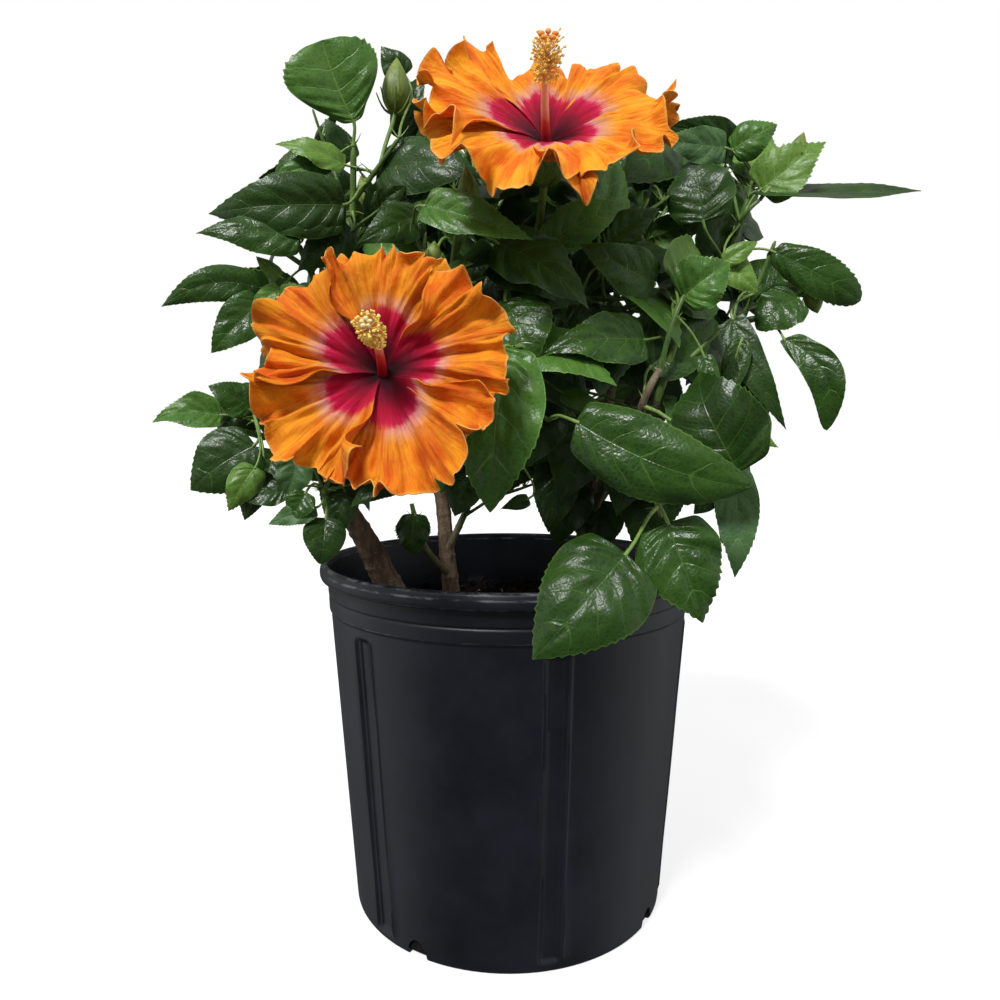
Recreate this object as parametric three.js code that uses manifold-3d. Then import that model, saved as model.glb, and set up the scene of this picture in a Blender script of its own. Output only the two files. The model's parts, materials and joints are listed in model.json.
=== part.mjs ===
// Hibiscus shrub with two open blooms, growing in a black nursery pot.
// Millimetres, +Z up. The origin is the centre of the pot's flat underside, and the blooms face -Y.
import * as THREE from 'three';
import { mergeVertices } from 'three/addons/utils/BufferGeometryUtils.js';
import Module from 'manifold-3d';

const wasm = await Module();
wasm.setup();

// Pot, and the mix that fills it
const POT_HEIGHT = 255;
const RIM_RADIUS = 139.5;
const LIP_HEIGHT = 12;
const BAND_RADIUS = 133.5;
const BAND_HEIGHT = 11;
const GROOVE = 1.2;
const SHOULDER_RADIUS = 130.5;
const SHOULDER_HEIGHT = 205;
const BASE_RADIUS = 115.5;
const WALL = 2;
const FLOOR = 2.5;
const POT_SIDES = 40;
const CHANNELS = 6;
const CHANNEL_TURN = 13;
const CHANNEL_WIDTH = 15.5;
const CHANNEL_DEPTH = 2.5;
const CHANNEL_TOP = 216;
const DRAINS = 4;
const DRAIN_WIDTH = 16;
const DRAIN_HEIGHT = 12;
const DRAIN_TURN = -32;
const MIX_LEVEL = 213;
const CUTTER_DEPTH = 12;
const CUTTER_MARGIN = 40;

// Clearance between touching solids, and between leaves
const GAP = 0.3;
const CLEAR = 0.6;
const MERGE_DISTANCE = 1e-4;
const SIMPLIFY_DISTANCE = 0.02;

// A limb leaves its parent by shares of the parent's heading, the way to its tip, and straight up,
// and bends at a share of its reach
const LEAVING = { parent: 0.55, tip: 0.75, up: 0.12, bend: 0.42 };
const ROOT_FLARE = 4;

// Leaves: blade outline and thickness, petioles, and how the shoots carry them
const BLADE_STATIONS = [0, 0.2, 0.58, 1];
const BLADE_THICKNESS = 1.9;
const BLADE_ARCH = 0.07;
const WIDTH_TO_LENGTH = 0.68;
const OLD_LEAF = 88;
const YOUNG_LEAF = 48;
const PETIOLE_RADIUS = 1.25;
const GOLDEN_ANGLE = 137.5;
const TWIG_LEAVES = 3;
const TWIG_ANGLE = 48;
const TWIG_SPAN = 0.45;
const TWIG_SPAN_SPREAD = 0.25;
const TWIG_TIP_RADIUS = 1.3;
const LEAF_ANGLE = 38;
const OLD_LEAF_ANGLE = 34;
const PETIOLE_TO_BLADE = 0.34;
const SHOW_PETIOLE = 22;
const DODGES = [0, 38, -38, 76, -76, 120];
const TWIG_RADIUS = 1.9;
const SHOOT_RADII = [3, 1.9];
const STALK_RADII = [2.8, 2.4];
const BUD_STALK = 40;
const BUD_STALK_RADIUS = 1.3;

// Blooms
const BLOOM_SIDES = 30;
const PETALS = 5;
const PETAL_THICKNESS = 1.6;
const COLUMN_RADIUS = 3;
const ANTHER_RADIUS = 8;
const ANTHER_SHARE = 0.19;
const CALYX_LENGTH = 34;
const CALYX_RADIUS = 10.5;
const BLOOM_MARGIN = 8;

// The crown's outline: leaf tips stay inside an ellipsoid, which is taller above its middle
const CROWN_MIDDLE = [14, 5, 425];
const CROWN_REACH = [230, 226, 186];
const CROWN_DROP = 190;
const CROWN_POWER = 2.6;

// A fixed direction that no limb runs along, to turn sections from
const SIDEWAYS = new THREE.Vector3(0.8, 0.5, -0.33).normalize();
const UP = new THREE.Vector3(0, 0, 1);

// Blades turn up and outwards from the crown's core, and on the front half also towards the light
const CORE = new THREE.Vector3(10, 40, 0);
const LIGHT = new THREE.Vector3(0.05, -0.7, 0);

// Stems stand on the mix at a foot. Boughs grow on a stem or bough at a share of its length.
const STEMS = {
  stem_left: { foot: [-78, 0], tip: [-122, -26, 304], radii: [9.5, 7] },
  stem_middle: { foot: [-43, 15], tip: [-52, 10, 316], radii: [6, 5] },
  stem_right: { foot: [57, 20], tip: [64, 2, 322], radii: [8, 6.5] },
};
const BOUGHS = {
  bough_left_low: { on: 'stem_left', at: 0.96, tip: [-146, -33, 333], radii: [4, 3.2] },
  bough_left_high: { on: 'stem_left', at: 1, tip: [-112, -34, 440], radii: [4.5, 3.4] },
  bough_left_back: { on: 'stem_left', at: 0.8, tip: [-140, 70, 395], radii: [4.2, 3.3] },
  bough_middle_front: { on: 'stem_middle', at: 1, tip: [-44, -58, 400], radii: [4, 3.3] },
  bough_middle_back: { on: 'stem_middle', at: 0.94, tip: [-55, 95, 430], radii: [4, 3.2] },
  bough_centre: { on: 'stem_right', at: 1, tip: [12, -8, 445], radii: [4.5, 3.4] },
  bough_right_front: { on: 'stem_right', at: 0.62, tip: [88, -78, 350], radii: [4.5, 3.6] },
  bough_right: { on: 'stem_right', at: 0.93, tip: [135, -25, 430], radii: [4.6, 3.4] },
  bough_right_back: { on: 'stem_right', at: 0.8, tip: [95, 100, 400], radii: [4.4, 3.3] },
};

// Each mass is one shoot with side twigs: where it grows, its tip, how many leaves and twigs it has
const MASSES = {
  leaves_top_left: { on: 'bough_left_high', at: 1, tip: [-104, -48, 540], leaves: 4, twigs: 1, seed: 11 },
  leaves_left_high: {
    on: 'bough_left_high', at: 0.7, tip: [-142, -52, 476],
    leaves: 6, twigs: 1, seed: 12,
  },
  leaves_left: { on: 'bough_left_low', at: 0.7, tip: [-170, -45, 418], leaves: 7, twigs: 0, seed: 13 },
  leaves_left_low: { on: 'bough_left_low', at: 1, tip: [-190, -60, 352], leaves: 6, twigs: 1, seed: 14 },
  leaves_left_rim: { on: 'stem_left', at: 0.7, tip: [-125, -68, 312], leaves: 2, twigs: 0, seed: 15 },
  leaves_left_back: { on: 'bough_left_back', at: 1, tip: [-175, 65, 440], leaves: 8, twigs: 2, seed: 16 },
  leaves_left_back_high: {
    on: 'bough_left_back', at: 0.75, tip: [-115, 75, 515],
    leaves: 8, twigs: 2, seed: 17,
  },
  leaves_left_back_low: {
    on: 'bough_left_back', at: 0.45, tip: [-110, 140, 360],
    leaves: 8, twigs: 2, seed: 18,
  },
  leaves_middle_top: {
    on: 'bough_middle_front', at: 1, tip: [-32, -108, 470],
    leaves: 5, twigs: 1, seed: 19,
  },
  leaves_middle: { on: 'bough_middle_front', at: 0.62, tip: [8, -130, 400], leaves: 6, twigs: 0, seed: 20 },
  leaves_crown: { on: 'bough_centre', at: 1, tip: [-35, -18, 540], leaves: 6, twigs: 2, seed: 21 },
  leaves_centre: { on: 'bough_centre', at: 0.66, tip: [72, -92, 452], leaves: 7, twigs: 2, seed: 22 },
  leaves_core: { on: 'bough_centre', at: 0.4, tip: [5, -62, 372], leaves: 6, twigs: 1, seed: 33 },
  leaves_glossy: { on: 'bough_right_front', at: 1, tip: [104, -100, 410], leaves: 5, twigs: 1, seed: 23 },
  leaves_rim: { on: 'bough_right_front', at: 0.7, tip: [78, -130, 318], leaves: 2, twigs: 0, seed: 24 },
  leaves_right_top: { on: 'bough_right', at: 1, tip: [168, -38, 522], leaves: 6, twigs: 1, seed: 25 },
  leaves_right: { on: 'bough_right', at: 0.75, tip: [186, -45, 430], leaves: 6, twigs: 1, seed: 26 },
  leaves_right_low: { on: 'bough_right', at: 0.45, tip: [150, -60, 350], leaves: 6, twigs: 1, seed: 27 },
  leaves_right_back: { on: 'bough_right_back', at: 1, tip: [178, 85, 440], leaves: 8, twigs: 2, seed: 28 },
  leaves_right_back_high: {
    on: 'bough_right_back', at: 0.8, tip: [90, 85, 530],
    leaves: 8, twigs: 2, seed: 29,
  },
  leaves_back_low: { on: 'bough_right_back', at: 0.5, tip: [60, 165, 370], leaves: 8, twigs: 2, seed: 30 },
  leaves_back: { on: 'bough_middle_back', at: 1, tip: [-30, 165, 450], leaves: 8, twigs: 2, seed: 31 },
  leaves_back_high: {
    on: 'bough_middle_back', at: 0.8, tip: [-15, 75, 545],
    leaves: 8, twigs: 2, seed: 32,
  },
};

// Blooms: where the throat sits, which way it looks, its radius, how far the petals curl back,
// and how much lower they lie on one side
const BLOOMS = {
  bloom_front: {
    on: 'bough_middle_front', at: 0.35, throat: [-73, -152, 385], looks: [-0.05, -1, 0.24],
    radius: 74, curl: 12, lean: 0, column: 54, seed: 41,
  },
  bloom_top: {
    on: 'bough_centre', at: 0.85, throat: [22, -112, 527], looks: [0.02, -0.73, 0.68],
    radius: 79, curl: 8, lean: 0.06, column: 54, seed: 42,
  },
};

// Leaves that give the front its likeness: mass, blade base, blade tip, width, and where the blade looks
const SHOW_LEAVES = [
  ['leaves_top_left', [-105, -52, 552], [-128, -62, 602], 66, [0.3, -1, 0.2]],
  ['leaves_top_left', [-112, -50, 522], [-155, -66, 535], 32, [0, -0.8, 0.6]],
  ['leaves_left_high', [-120, -46, 510], [-200, -56, 498], 44, [-0.1, -0.5, 0.9]],
  ['leaves_left_high', [-122, -84, 482], [-205, -98, 468], 46, [0, -1, 0.35]],
  ['leaves_left', [-168, -52, 450], [-240, -66, 430], 42, [-0.1, -0.7, 0.7]],
  ['leaves_left', [-150, -86, 434], [-186, -98, 400], 44, [-0.2, -1, 0.2]],
  ['leaves_left_low', [-170, -58, 372], [-240, -68, 358], 48, [0, -0.7, 0.7]],
  ['leaves_left_low', [-156, -86, 336], [-214, -98, 310], 58, [0, -1, 0.3]],
  ['leaves_left_low', [-154, -112, 334], [-174, -124, 300], 30, [0, -1, 0.2]],
  ['leaves_left_rim', [-112, -80, 306], [-120, -106, 264], 34, [-0.4, -0.9, 0.1]],
  ['leaves_middle_top', [-16, -142, 452], [-58, -156, 474], 52, [0.2, -0.7, 0.7]],
  ['leaves_middle_top', [-6, -122, 462], [52, -140, 430], 50, [0, -0.8, 0.6]],
  ['leaves_middle', [8, -126, 398], [-13, -146, 304], 72, [0.1, -1, 0.25]],
  ['leaves_middle', [36, -122, 406], [4, -138, 434], 44, [0.2, -1, 0.4]],
  ['leaves_crown', [-55, -8, 570], [-78, -10, 612], 40, [0, -1, 0.2]],
  ['leaves_centre', [80, -118, 414], [18, -142, 398], 46, [0, -0.8, 0.6]],
  ['leaves_centre', [108, -96, 452], [57, -112, 452], 46, [0, -0.7, 0.7]],
  ['leaves_glossy', [42, -162, 362], [134, -188, 324], 88, [0.1, -1, 0.35]],
  ['leaves_glossy', [140, -105, 328], [142, -128, 262], 34, [0.2, -1, 0.1]],
  ['leaves_rim', [66, -166, 284], [14, -192, 226], 80, [0.2, -1, 0.35]],
  ['leaves_rim', [90, -158, 304], [108, -180, 246], 54, [0.1, -1, 0.4]],
  ['leaves_right_top', [146, -50, 534], [92, -62, 548], 42, [0, -0.9, 0.4]],
  ['leaves_right_top', [150, -32, 545], [188, -36, 562], 26, [0, -0.8, 0.6]],
  ['leaves_right_top', [174, -46, 524], [216, -56, 552], 42, [0, -0.9, 0.5]],
  ['leaves_right_top', [178, -42, 517], [272, -58, 518], 42, [0, -0.6, 0.85]],
  ['leaves_right', [188, -42, 468], [246, -56, 438], 48, [0, -0.8, 0.6]],
  ['leaves_right', [190, -60, 412], [215, -78, 346], 38, [0.2, -1, 0.2]],
  ['leaves_right_low', [154, -66, 410], [176, -96, 344], 40, [-0.4, -0.9, 0.2]],
];

// Buds: mass, base, tip and radius
const BUDS = [
  ['leaves_top_left', [-78, -34, 562], [-76, -34, 606], 11],
  ['leaves_middle_top', [-24, -112, 478], [-26, -116, 506], 7],
  ['leaves_right_top', [190, -46, 528], [196, -50, 548], 6],
  ['leaves_right', [208, -62, 452], [212, -66, 436], 6],
  ['leaves_left_back_high', [-118, 95, 535], [-122, 100, 566], 8],
  ['leaves_back', [-40, 200, 470], [-44, 210, 498], 8],
];

const COLOURS = {
  pot: { color: 0x23262d, roughness: 0.5, metalness: 0 },
  mix: { color: 0x2b211b, roughness: 1, metalness: 0 },
  bark: { color: 0x6f6253, roughness: 0.85, metalness: 0 },
  leaf: { color: 0x2c5f27, roughness: 0.4, metalness: 0 },
  bloom: { color: 0xf09022, roughness: 0.6, metalness: 0 },
};

const vector = (place) => new THREE.Vector3(...place);
const radians = THREE.MathUtils.degToRad;

// Repeatable random numbers from 0 to 1
function seededRandom(seed) {
  let state = seed * 7919;
  return () => {
    state = (state + 0x6d2b79f5) | 0;
    let mixed = Math.imul(state ^ (state >>> 15), 1 | state);
    mixed = (mixed + Math.imul(mixed ^ (mixed >>> 7), 61 | mixed)) ^ mixed;
    return ((mixed ^ (mixed >>> 14)) >>> 0) / 4294967296;
  };
}

// Six times the volume inside a triangle mesh, negative when its faces point in
function signedVolume(position, index) {
  let sum = 0;
  const corner = [0, 1, 2].map(() => new THREE.Vector3());
  for (let i = 0; i < index.length; i += 3) {
    corner.forEach((point, k) => point.fromArray(position, 3 * index[i + k]));
    sum += corner[0].dot(corner[1].clone().cross(corner[2]));
  }
  return sum;
}

function toSolid(geometry) {
  const plain = geometry.clone();
  plain.deleteAttribute('normal');
  plain.deleteAttribute('uv');
  const merged = mergeVertices(plain, MERGE_DISTANCE);
  const position = merged.attributes.position.array;
  const index = [];
  for (let i = 0; i < merged.index.count; i += 3) {
    const [a, b, c] = [0, 1, 2].map((k) => merged.index.getX(i + k));
    if (a !== b && b !== c && c !== a) index.push(a, b, c);
  }
  if (signedVolume(position, index) < 0) index.reverse();
  const mesh = new wasm.Mesh({
    numProp: 3,
    vertProperties: new Float32Array(position),
    triVerts: new Uint32Array(index),
  });
  return new wasm.Manifold(mesh);
}

function toMesh(name, solid, look) {
  const { vertProperties, triVerts } = solid.getMesh();
  const geometry = new THREE.BufferGeometry();
  geometry.setAttribute('position', new THREE.BufferAttribute(vertProperties, 3));
  geometry.setIndex(new THREE.BufferAttribute(triVerts, 1));
  geometry.computeVertexNormals();
  const mesh = new THREE.Mesh(geometry, new THREE.MeshStandardMaterial(look));
  mesh.name = name;
  return mesh;
}

// Joins pieces into one closed body: loose scraps go and sealed hollows fill
function fuse(pieces) {
  const bodies = wasm.Manifold.union(pieces).simplify(SIMPLIFY_DISTANCE).decompose();
  return bodies.reduce((best, body) => (body.volume() > best.volume() ? body : best));
}

// Carries a tapering round section along part of a curve
function limbPiece(curve, from, to, radiusAt, sides, steps) {
  const geometry = new THREE.CylinderGeometry(1, 1, 1, sides, steps);
  const position = geometry.attributes.position;
  for (let i = 0; i < position.count; i += 1) {
    const share = position.getY(i) + 0.5;
    const u = from + (to - from) * share;
    const tangent = curve.getTangentAt(u);
    const side = SIDEWAYS.clone().cross(tangent).normalize();
    const other = side.clone().cross(tangent);
    const radius = radiusAt(share);
    const point = curve.getPointAt(u)
      .addScaledVector(side, radius * position.getX(i))
      .addScaledVector(other, radius * position.getZ(i));
    position.setXYZ(i, point.x, point.y, point.z);
  }
  return toSolid(geometry);
}

const taper = (start, end) => (share) => start + (end - start) * share;

// A limb leaves its parent between the parent's own direction and the way to its tip, rising a little
function growthCurve(root, heading, tip) {
  const reach = tip.clone().sub(root);
  const leaving = heading.clone().multiplyScalar(LEAVING.parent)
    .addScaledVector(reach.clone().normalize(), LEAVING.tip)
    .addScaledVector(UP, LEAVING.up)
    .normalize();
  const middle = root.clone().addScaledVector(leaving, LEAVING.bend * reach.length());
  return new THREE.QuadraticBezierCurve3(root, middle, tip);
}

// Ovate outline: widest a third of the way along, and drawn out to a point
function halfWidth(share, width) {
  return 1.13 * width * (1 - share) ** 0.8 * share ** 0.45;
}

// A leaf is a sphere of three sides, drawn out flat: two sides are the blade's edges, which follow
// the ovate outline, and the third is the keel of its midrib. It arches between its ends.
// With a root given, two more rings make the petiole, from inside the twig to the blade's base.
function leafPiece(base, tip, width, looks, root) {
  const petioleRings = root ? 1 : 0;
  const rings = BLADE_STATIONS.length - 1 + 2 * petioleRings;
  const geometry = new THREE.SphereGeometry(1, 3, rings);
  const chord = tip.clone().sub(base);
  const length = chord.length();
  const along = chord.normalize();
  const across = along.clone().cross(looks).normalize();
  const normal = across.clone().cross(along);
  const position = geometry.attributes.position;
  for (let i = 0; i < position.count; i += 1) {
    const angle = Math.acos(THREE.MathUtils.clamp(position.getY(i), -1, 1));
    const ring = Math.round(rings * angle / Math.PI);
    const inside = ring > 0 && ring < rings ? 1 / Math.sin(angle) : 0;
    const edge = inside * position.getZ(i) / Math.sin(Math.PI / 3);
    const keel = inside * position.getX(i) < -0.5 ? -1 : 0;
    let point;
    if (root && ring < 3) {
      const way = base.clone().sub(root).normalize();
      if (ring === 2) way.add(along).normalize();
      const turn = new THREE.Quaternion().setFromUnitVectors(along, way);
      point = across.clone().multiplyScalar(edge).addScaledVector(normal, keel)
        .multiplyScalar(PETIOLE_RADIUS)
        .applyQuaternion(turn)
        .add(ring < 2 ? root : base);
    } else {
      const share = BLADE_STATIONS[ring - 2 * petioleRings];
      point = base.clone().addScaledVector(along, share * length)
        .addScaledVector(across, edge * halfWidth(share, width))
        .addScaledVector(normal, keel * BLADE_THICKNESS + BLADE_ARCH * length * 4 * share * (1 - share));
    }
    position.setXYZ(i, point.x, point.y, point.z);
  }
  return toSolid(geometry);
}

// A pointed bud, wide below its middle, on a section of five sides
function budBody(base, tip, radius) {
  const curve = new THREE.LineCurve3(base, tip);
  const swell = (share) => radius * Math.max(0.12, Math.sin(Math.PI * share ** 0.75) ** 0.8);
  return limbPiece(curve, 0, 1, swell, 5, 4);
}

function lathe(profile, sides) {
  const geometry = new THREE.LatheGeometry(profile.map(([r, z]) => new THREE.Vector2(r, z)), sides);
  return geometry.rotateX(Math.PI / 2);
}

function wallRadius(height) {
  return BASE_RADIUS + (SHOULDER_RADIUS - BASE_RADIUS) * height / SHOULDER_HEIGHT;
}

// Boxes that follow the wall's slope, one for each channel pressed into it
function channelCutters(extra) {
  const slope = Math.atan((SHOULDER_RADIUS - BASE_RADIUS) / SHOULDER_HEIGHT);
  const height = CHANNEL_TOP + CUTTER_MARGIN + extra;
  const pieces = [];
  for (let i = 0; i < CHANNELS; i += 1) {
    const box = new THREE.BoxGeometry(CUTTER_DEPTH, CHANNEL_WIDTH + 2 * extra, height);
    box.translate(CUTTER_DEPTH / 2 - CHANNEL_DEPTH - extra, 0, height / 2 - CUTTER_MARGIN);
    box.rotateY(slope);
    box.translate(BASE_RADIUS, 0, 0);
    box.rotateZ(radians(-90 + CHANNEL_TURN + i * 360 / CHANNELS));
    pieces.push(toSolid(box));
  }
  return wasm.Manifold.union(pieces);
}

// Drain holes at the foot of the wall, cut through into the corner of the floor
function drainCutters() {
  const pieces = [];
  for (let i = 0; i < DRAINS; i += 1) {
    const box = new THREE.BoxGeometry(CUTTER_DEPTH, DRAIN_WIDTH, 2 * DRAIN_HEIGHT);
    box.translate(BASE_RADIUS + 1, 0, 0);
    box.rotateZ(radians(-90 + DRAIN_TURN + i * 360 / DRAINS));
    pieces.push(toSolid(box));
  }
  return wasm.Manifold.union(pieces);
}

// Outer profile from the middle of the underside up to the lip, with its bands and groove
function potOuter() {
  const lipFoot = POT_HEIGHT - LIP_HEIGHT;
  const bandFoot = lipFoot - BAND_HEIGHT;
  const stepFoot = bandFoot - BAND_HEIGHT;
  return lathe([
    [0, 0], [BASE_RADIUS - 1.5, 0], [BASE_RADIUS, 2],
    [wallRadius(stepFoot - 3), stepFoot - 3],
    [SHOULDER_RADIUS + 1, stepFoot], [BAND_RADIUS - 0.6, stepFoot + 1.2],
    [BAND_RADIUS - 0.3, bandFoot - 0.8], [BAND_RADIUS - GROOVE, bandFoot],
    [BAND_RADIUS, bandFoot + 0.8], [BAND_RADIUS + 0.4, lipFoot],
    [RIM_RADIUS - 1, lipFoot + 1.5], [RIM_RADIUS, lipFoot + 5],
    [RIM_RADIUS - 0.5, POT_HEIGHT - 2], [RIM_RADIUS - 2, POT_HEIGHT], [0, POT_HEIGHT],
  ], POT_SIDES);
}

// The space inside the wall, the given clearance smaller, up to the given height
function potInner(clearance, floor, top) {
  const inset = WALL + clearance;
  const profile = [[0, floor], [wallRadius(floor) - inset, floor], [SHOULDER_RADIUS - inset, MIX_LEVEL]];
  if (top > MIX_LEVEL) profile.push([RIM_RADIUS - 5, top]);
  profile.push([0, top]);
  return toSolid(lathe(profile, POT_SIDES)).subtract(channelCutters(inset));
}

function buildPot() {
  return toSolid(potOuter())
    .subtract(channelCutters(0))
    .subtract(potInner(0, FLOOR, POT_HEIGHT + 1))
    .subtract(drainCutters())
    .simplify(SIMPLIFY_DISTANCE);
}

function buildMix() {
  return potInner(GAP, FLOOR + GAP, MIX_LEVEL).simplify(SIMPLIFY_DISTANCE);
}

// Every limb's curve, with its radius along it and the share of it that belongs to its parent
const limbs = {};

// The foot of a limb is a collar on its parent, long enough for the limb's end to clear the parent
function collarLength(curve, parent, radius, at) {
  const girth = parent.radiusAt(at);
  const axis = parent.curve.getSpacedPoints(60);
  const length = curve.getLength();
  let reach = 1.5 * girth + 2.6 * radius;
  while (axis.some((point) => point.distanceTo(curve.getPointAt(reach / length)) < girth + radius + 1.2)) {
    reach += 1;
  }
  return reach;
}

function addCurve(name, spec, curve, radii) {
  const parent = limbs[spec.on];
  const length = curve.getLength();
  const collar = collarLength(curve, parent, radii[0], spec.at) / length;
  const radiusAt = taper(radii[0] * 1.12, radii[1]);
  limbs[name] = { curve, radiusAt, start: collar + GAP / length, collars: [] };
  parent.collars.push(limbPiece(curve, 0, collar, (share) => radiusAt(share * collar), 5, 1));
}

function addLimb(name, spec, radii) {
  const parent = limbs[spec.on];
  const root = parent.curve.getPointAt(spec.at);
  addCurve(name, spec, growthCurve(root, parent.curve.getTangentAt(spec.at), vector(spec.tip)), radii);
}

function addStems() {
  for (const [name, spec] of Object.entries(STEMS)) {
    const foot = new THREE.Vector3(spec.foot[0], spec.foot[1], MIX_LEVEL - 8);
    const tip = vector(spec.tip);
    const middle = foot.clone().lerp(tip, 0.5).addScaledVector(UP, 8);
    const curve = new THREE.QuadraticBezierCurve3(foot, middle, tip);
    const flare = (share) => taper(...spec.radii)(share) + ROOT_FLARE * Math.exp(-share * 9);
    limbs[name] = { curve, radiusAt: flare, start: 0, collars: [] };
  }
}

function buildLimb(name, sides, steps) {
  const { curve, radiusAt, start, collars } = limbs[name];
  const body = limbPiece(curve, start, 1, (share) => radiusAt(start + (1 - start) * share), sides, steps);
  const joined = fuse([body, ...collars]);
  return name in STEMS ? joined.trimByPlane([0, 0, 1], MIX_LEVEL + GAP) : joined;
}

// Everything that is already in place, with the box round it
const placed = [];

function place(node, kind, solid) {
  placed.push({ node, kind, solid, box: solid.boundingBox() });
}

function isClear(solid, ignores) {
  const { min, max } = solid.boundingBox();
  return !placed.some((other) => {
    if (ignores(other)) return false;
    const { box } = other;
    const apart = [0, 1, 2].some((k) => min[k] > box.max[k] + CLEAR || max[k] < box.min[k] - CLEAR);
    return !apart && other.solid.minGap(solid, 2 * CLEAR) < CLEAR;
  });
}

// The direction at an angle from an axis, turned round it by an azimuth
function turnedFrom(axis, angle, azimuth) {
  const side = SIDEWAYS.clone().cross(axis).normalize().applyAxisAngle(axis, radians(azimuth));
  return axis.clone().multiplyScalar(Math.cos(radians(angle)))
    .addScaledVector(side, Math.sin(radians(angle)));
}

// The twigs of a mass: its shoot, and side twigs that leave it at the golden angle
function growTwigs(name, spec) {
  const random = seededRandom(spec.seed);
  const shoot = limbs[name];
  const bare = Math.max(0.3, shoot.start + 0.1);
  const length = shoot.curve.getLength();
  const twigs = [{ curve: shoot.curve, from: bare }];
  const pieces = [limbPiece(shoot.curve, shoot.start, 1, taper(...SHOOT_RADII), 4, 3), ...shoot.collars];
  pieces.forEach((piece) => place(name, 'twig', piece));
  for (let i = 0; i < spec.twigs; i += 1) {
    const at = bare + (0.85 - bare) * (i + random()) / spec.twigs;
    const azimuth = spec.seed * 50 + i * GOLDEN_ANGLE;
    const span = length * (TWIG_SPAN + TWIG_SPAN_SPREAD * random());
    const root = shoot.curve.getPointAt(at);
    const axis = shoot.curve.getTangentAt(at);
    for (const dodge of DODGES) {
      const heading = turnedFrom(axis, TWIG_ANGLE, azimuth + dodge).addScaledVector(UP, 0.25).normalize();
      const tip = root.clone().addScaledVector(heading, span).addScaledVector(UP, 0.08 * span);
      const middle = root.clone().addScaledVector(heading, 0.5 * span);
      const curve = new THREE.QuadraticBezierCurve3(root, middle, tip);
      const piece = limbPiece(curve, 0, 1, taper(TWIG_RADIUS, TWIG_TIP_RADIUS), 3, 2);
      const free = limbPiece(curve, 0.15, 1, taper(TWIG_RADIUS, TWIG_TIP_RADIUS), 3, 2);
      const outside = isClear(piece, (other) => other.node === name);
      if (outside && isClear(free, (other) => other.node !== name)) {
        place(name, 'twig', piece);
        pieces.push(piece);
        twigs.push({ curve, from: 0.35 });
        break;
      }
    }
  }
  return { name, spec, random, twigs, pieces };
}

// Blade and petiole go on together, or not at all
function tryLeaf(mass, root, base, tip, width, looks) {
  const blade = leafPiece(base, tip, width, looks);
  if (!isClear(blade, (other) => other.node !== mass.name)) return false;
  const leaf = leafPiece(base, tip, width, looks, root);
  if (!isClear(leaf, (other) => other.node === mass.name)) return false;
  place(mass.name, 'leaf', leaf);
  mass.pieces.push(leaf);
  return true;
}

function nearestOn(twigs, point) {
  let best = { gap: Infinity };
  for (const twig of twigs) {
    for (let u = twig.from; u <= 1; u += 0.05) {
      const root = twig.curve.getPointAt(u);
      const gap = root.distanceTo(point);
      if (gap < best.gap) best = { gap, root };
    }
  }
  return best.root;
}

function addShowLeaf(masses, [name, base, tip, width, looks]) {
  const mass = masses[name];
  const from = vector(base);
  const chord = vector(tip).sub(from).normalize();
  const root = nearestOn(mass.twigs, from.clone().addScaledVector(chord, -SHOW_PETIOLE));
  tryLeaf(mass, root, from, vector(tip), width, vector(looks));
}

// A bud on its own green stalk, where it has room
function addBud(masses, [name, base, tip, radius]) {
  const mass = masses[name];
  const foot = vector(base);
  const root = nearestOn(mass.twigs, foot.clone().addScaledVector(UP, -BUD_STALK));
  const line = new THREE.LineCurve3(root, foot.clone().lerp(vector(tip), 0.3));
  const stalk = limbPiece(line, 0, 1, () => BUD_STALK_RADIUS, 3, 1);
  const bud = budBody(foot, vector(tip), radius);
  if (![stalk, bud].every((piece) => isClear(piece, (other) => other.node === name))) return;
  [stalk, bud].forEach((piece) => place(name, 'leaf', piece));
  mass.pieces.push(stalk, bud);
}

function inCrown(point) {
  const away = point.clone().sub(vector(CROWN_MIDDLE));
  const height = away.z > 0 ? CROWN_REACH[2] : CROWN_DROP;
  const shares = [away.x / CROWN_REACH[0], away.y / CROWN_REACH[1], away.z / height];
  return shares.reduce((sum, share) => sum + Math.abs(share) ** CROWN_POWER, 0) < 1;
}

// No leaf grows in front of an open bloom
function hidesBloom(point) {
  return Object.values(BLOOMS).some(({ throat, looks, radius }) => {
    const away = point.clone().sub(vector(throat));
    const ahead = away.dot(vector(looks).normalize());
    return ahead > -5 && Math.sqrt(away.lengthSq() - ahead * ahead) < radius + BLOOM_MARGIN;
  });
}

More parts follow.
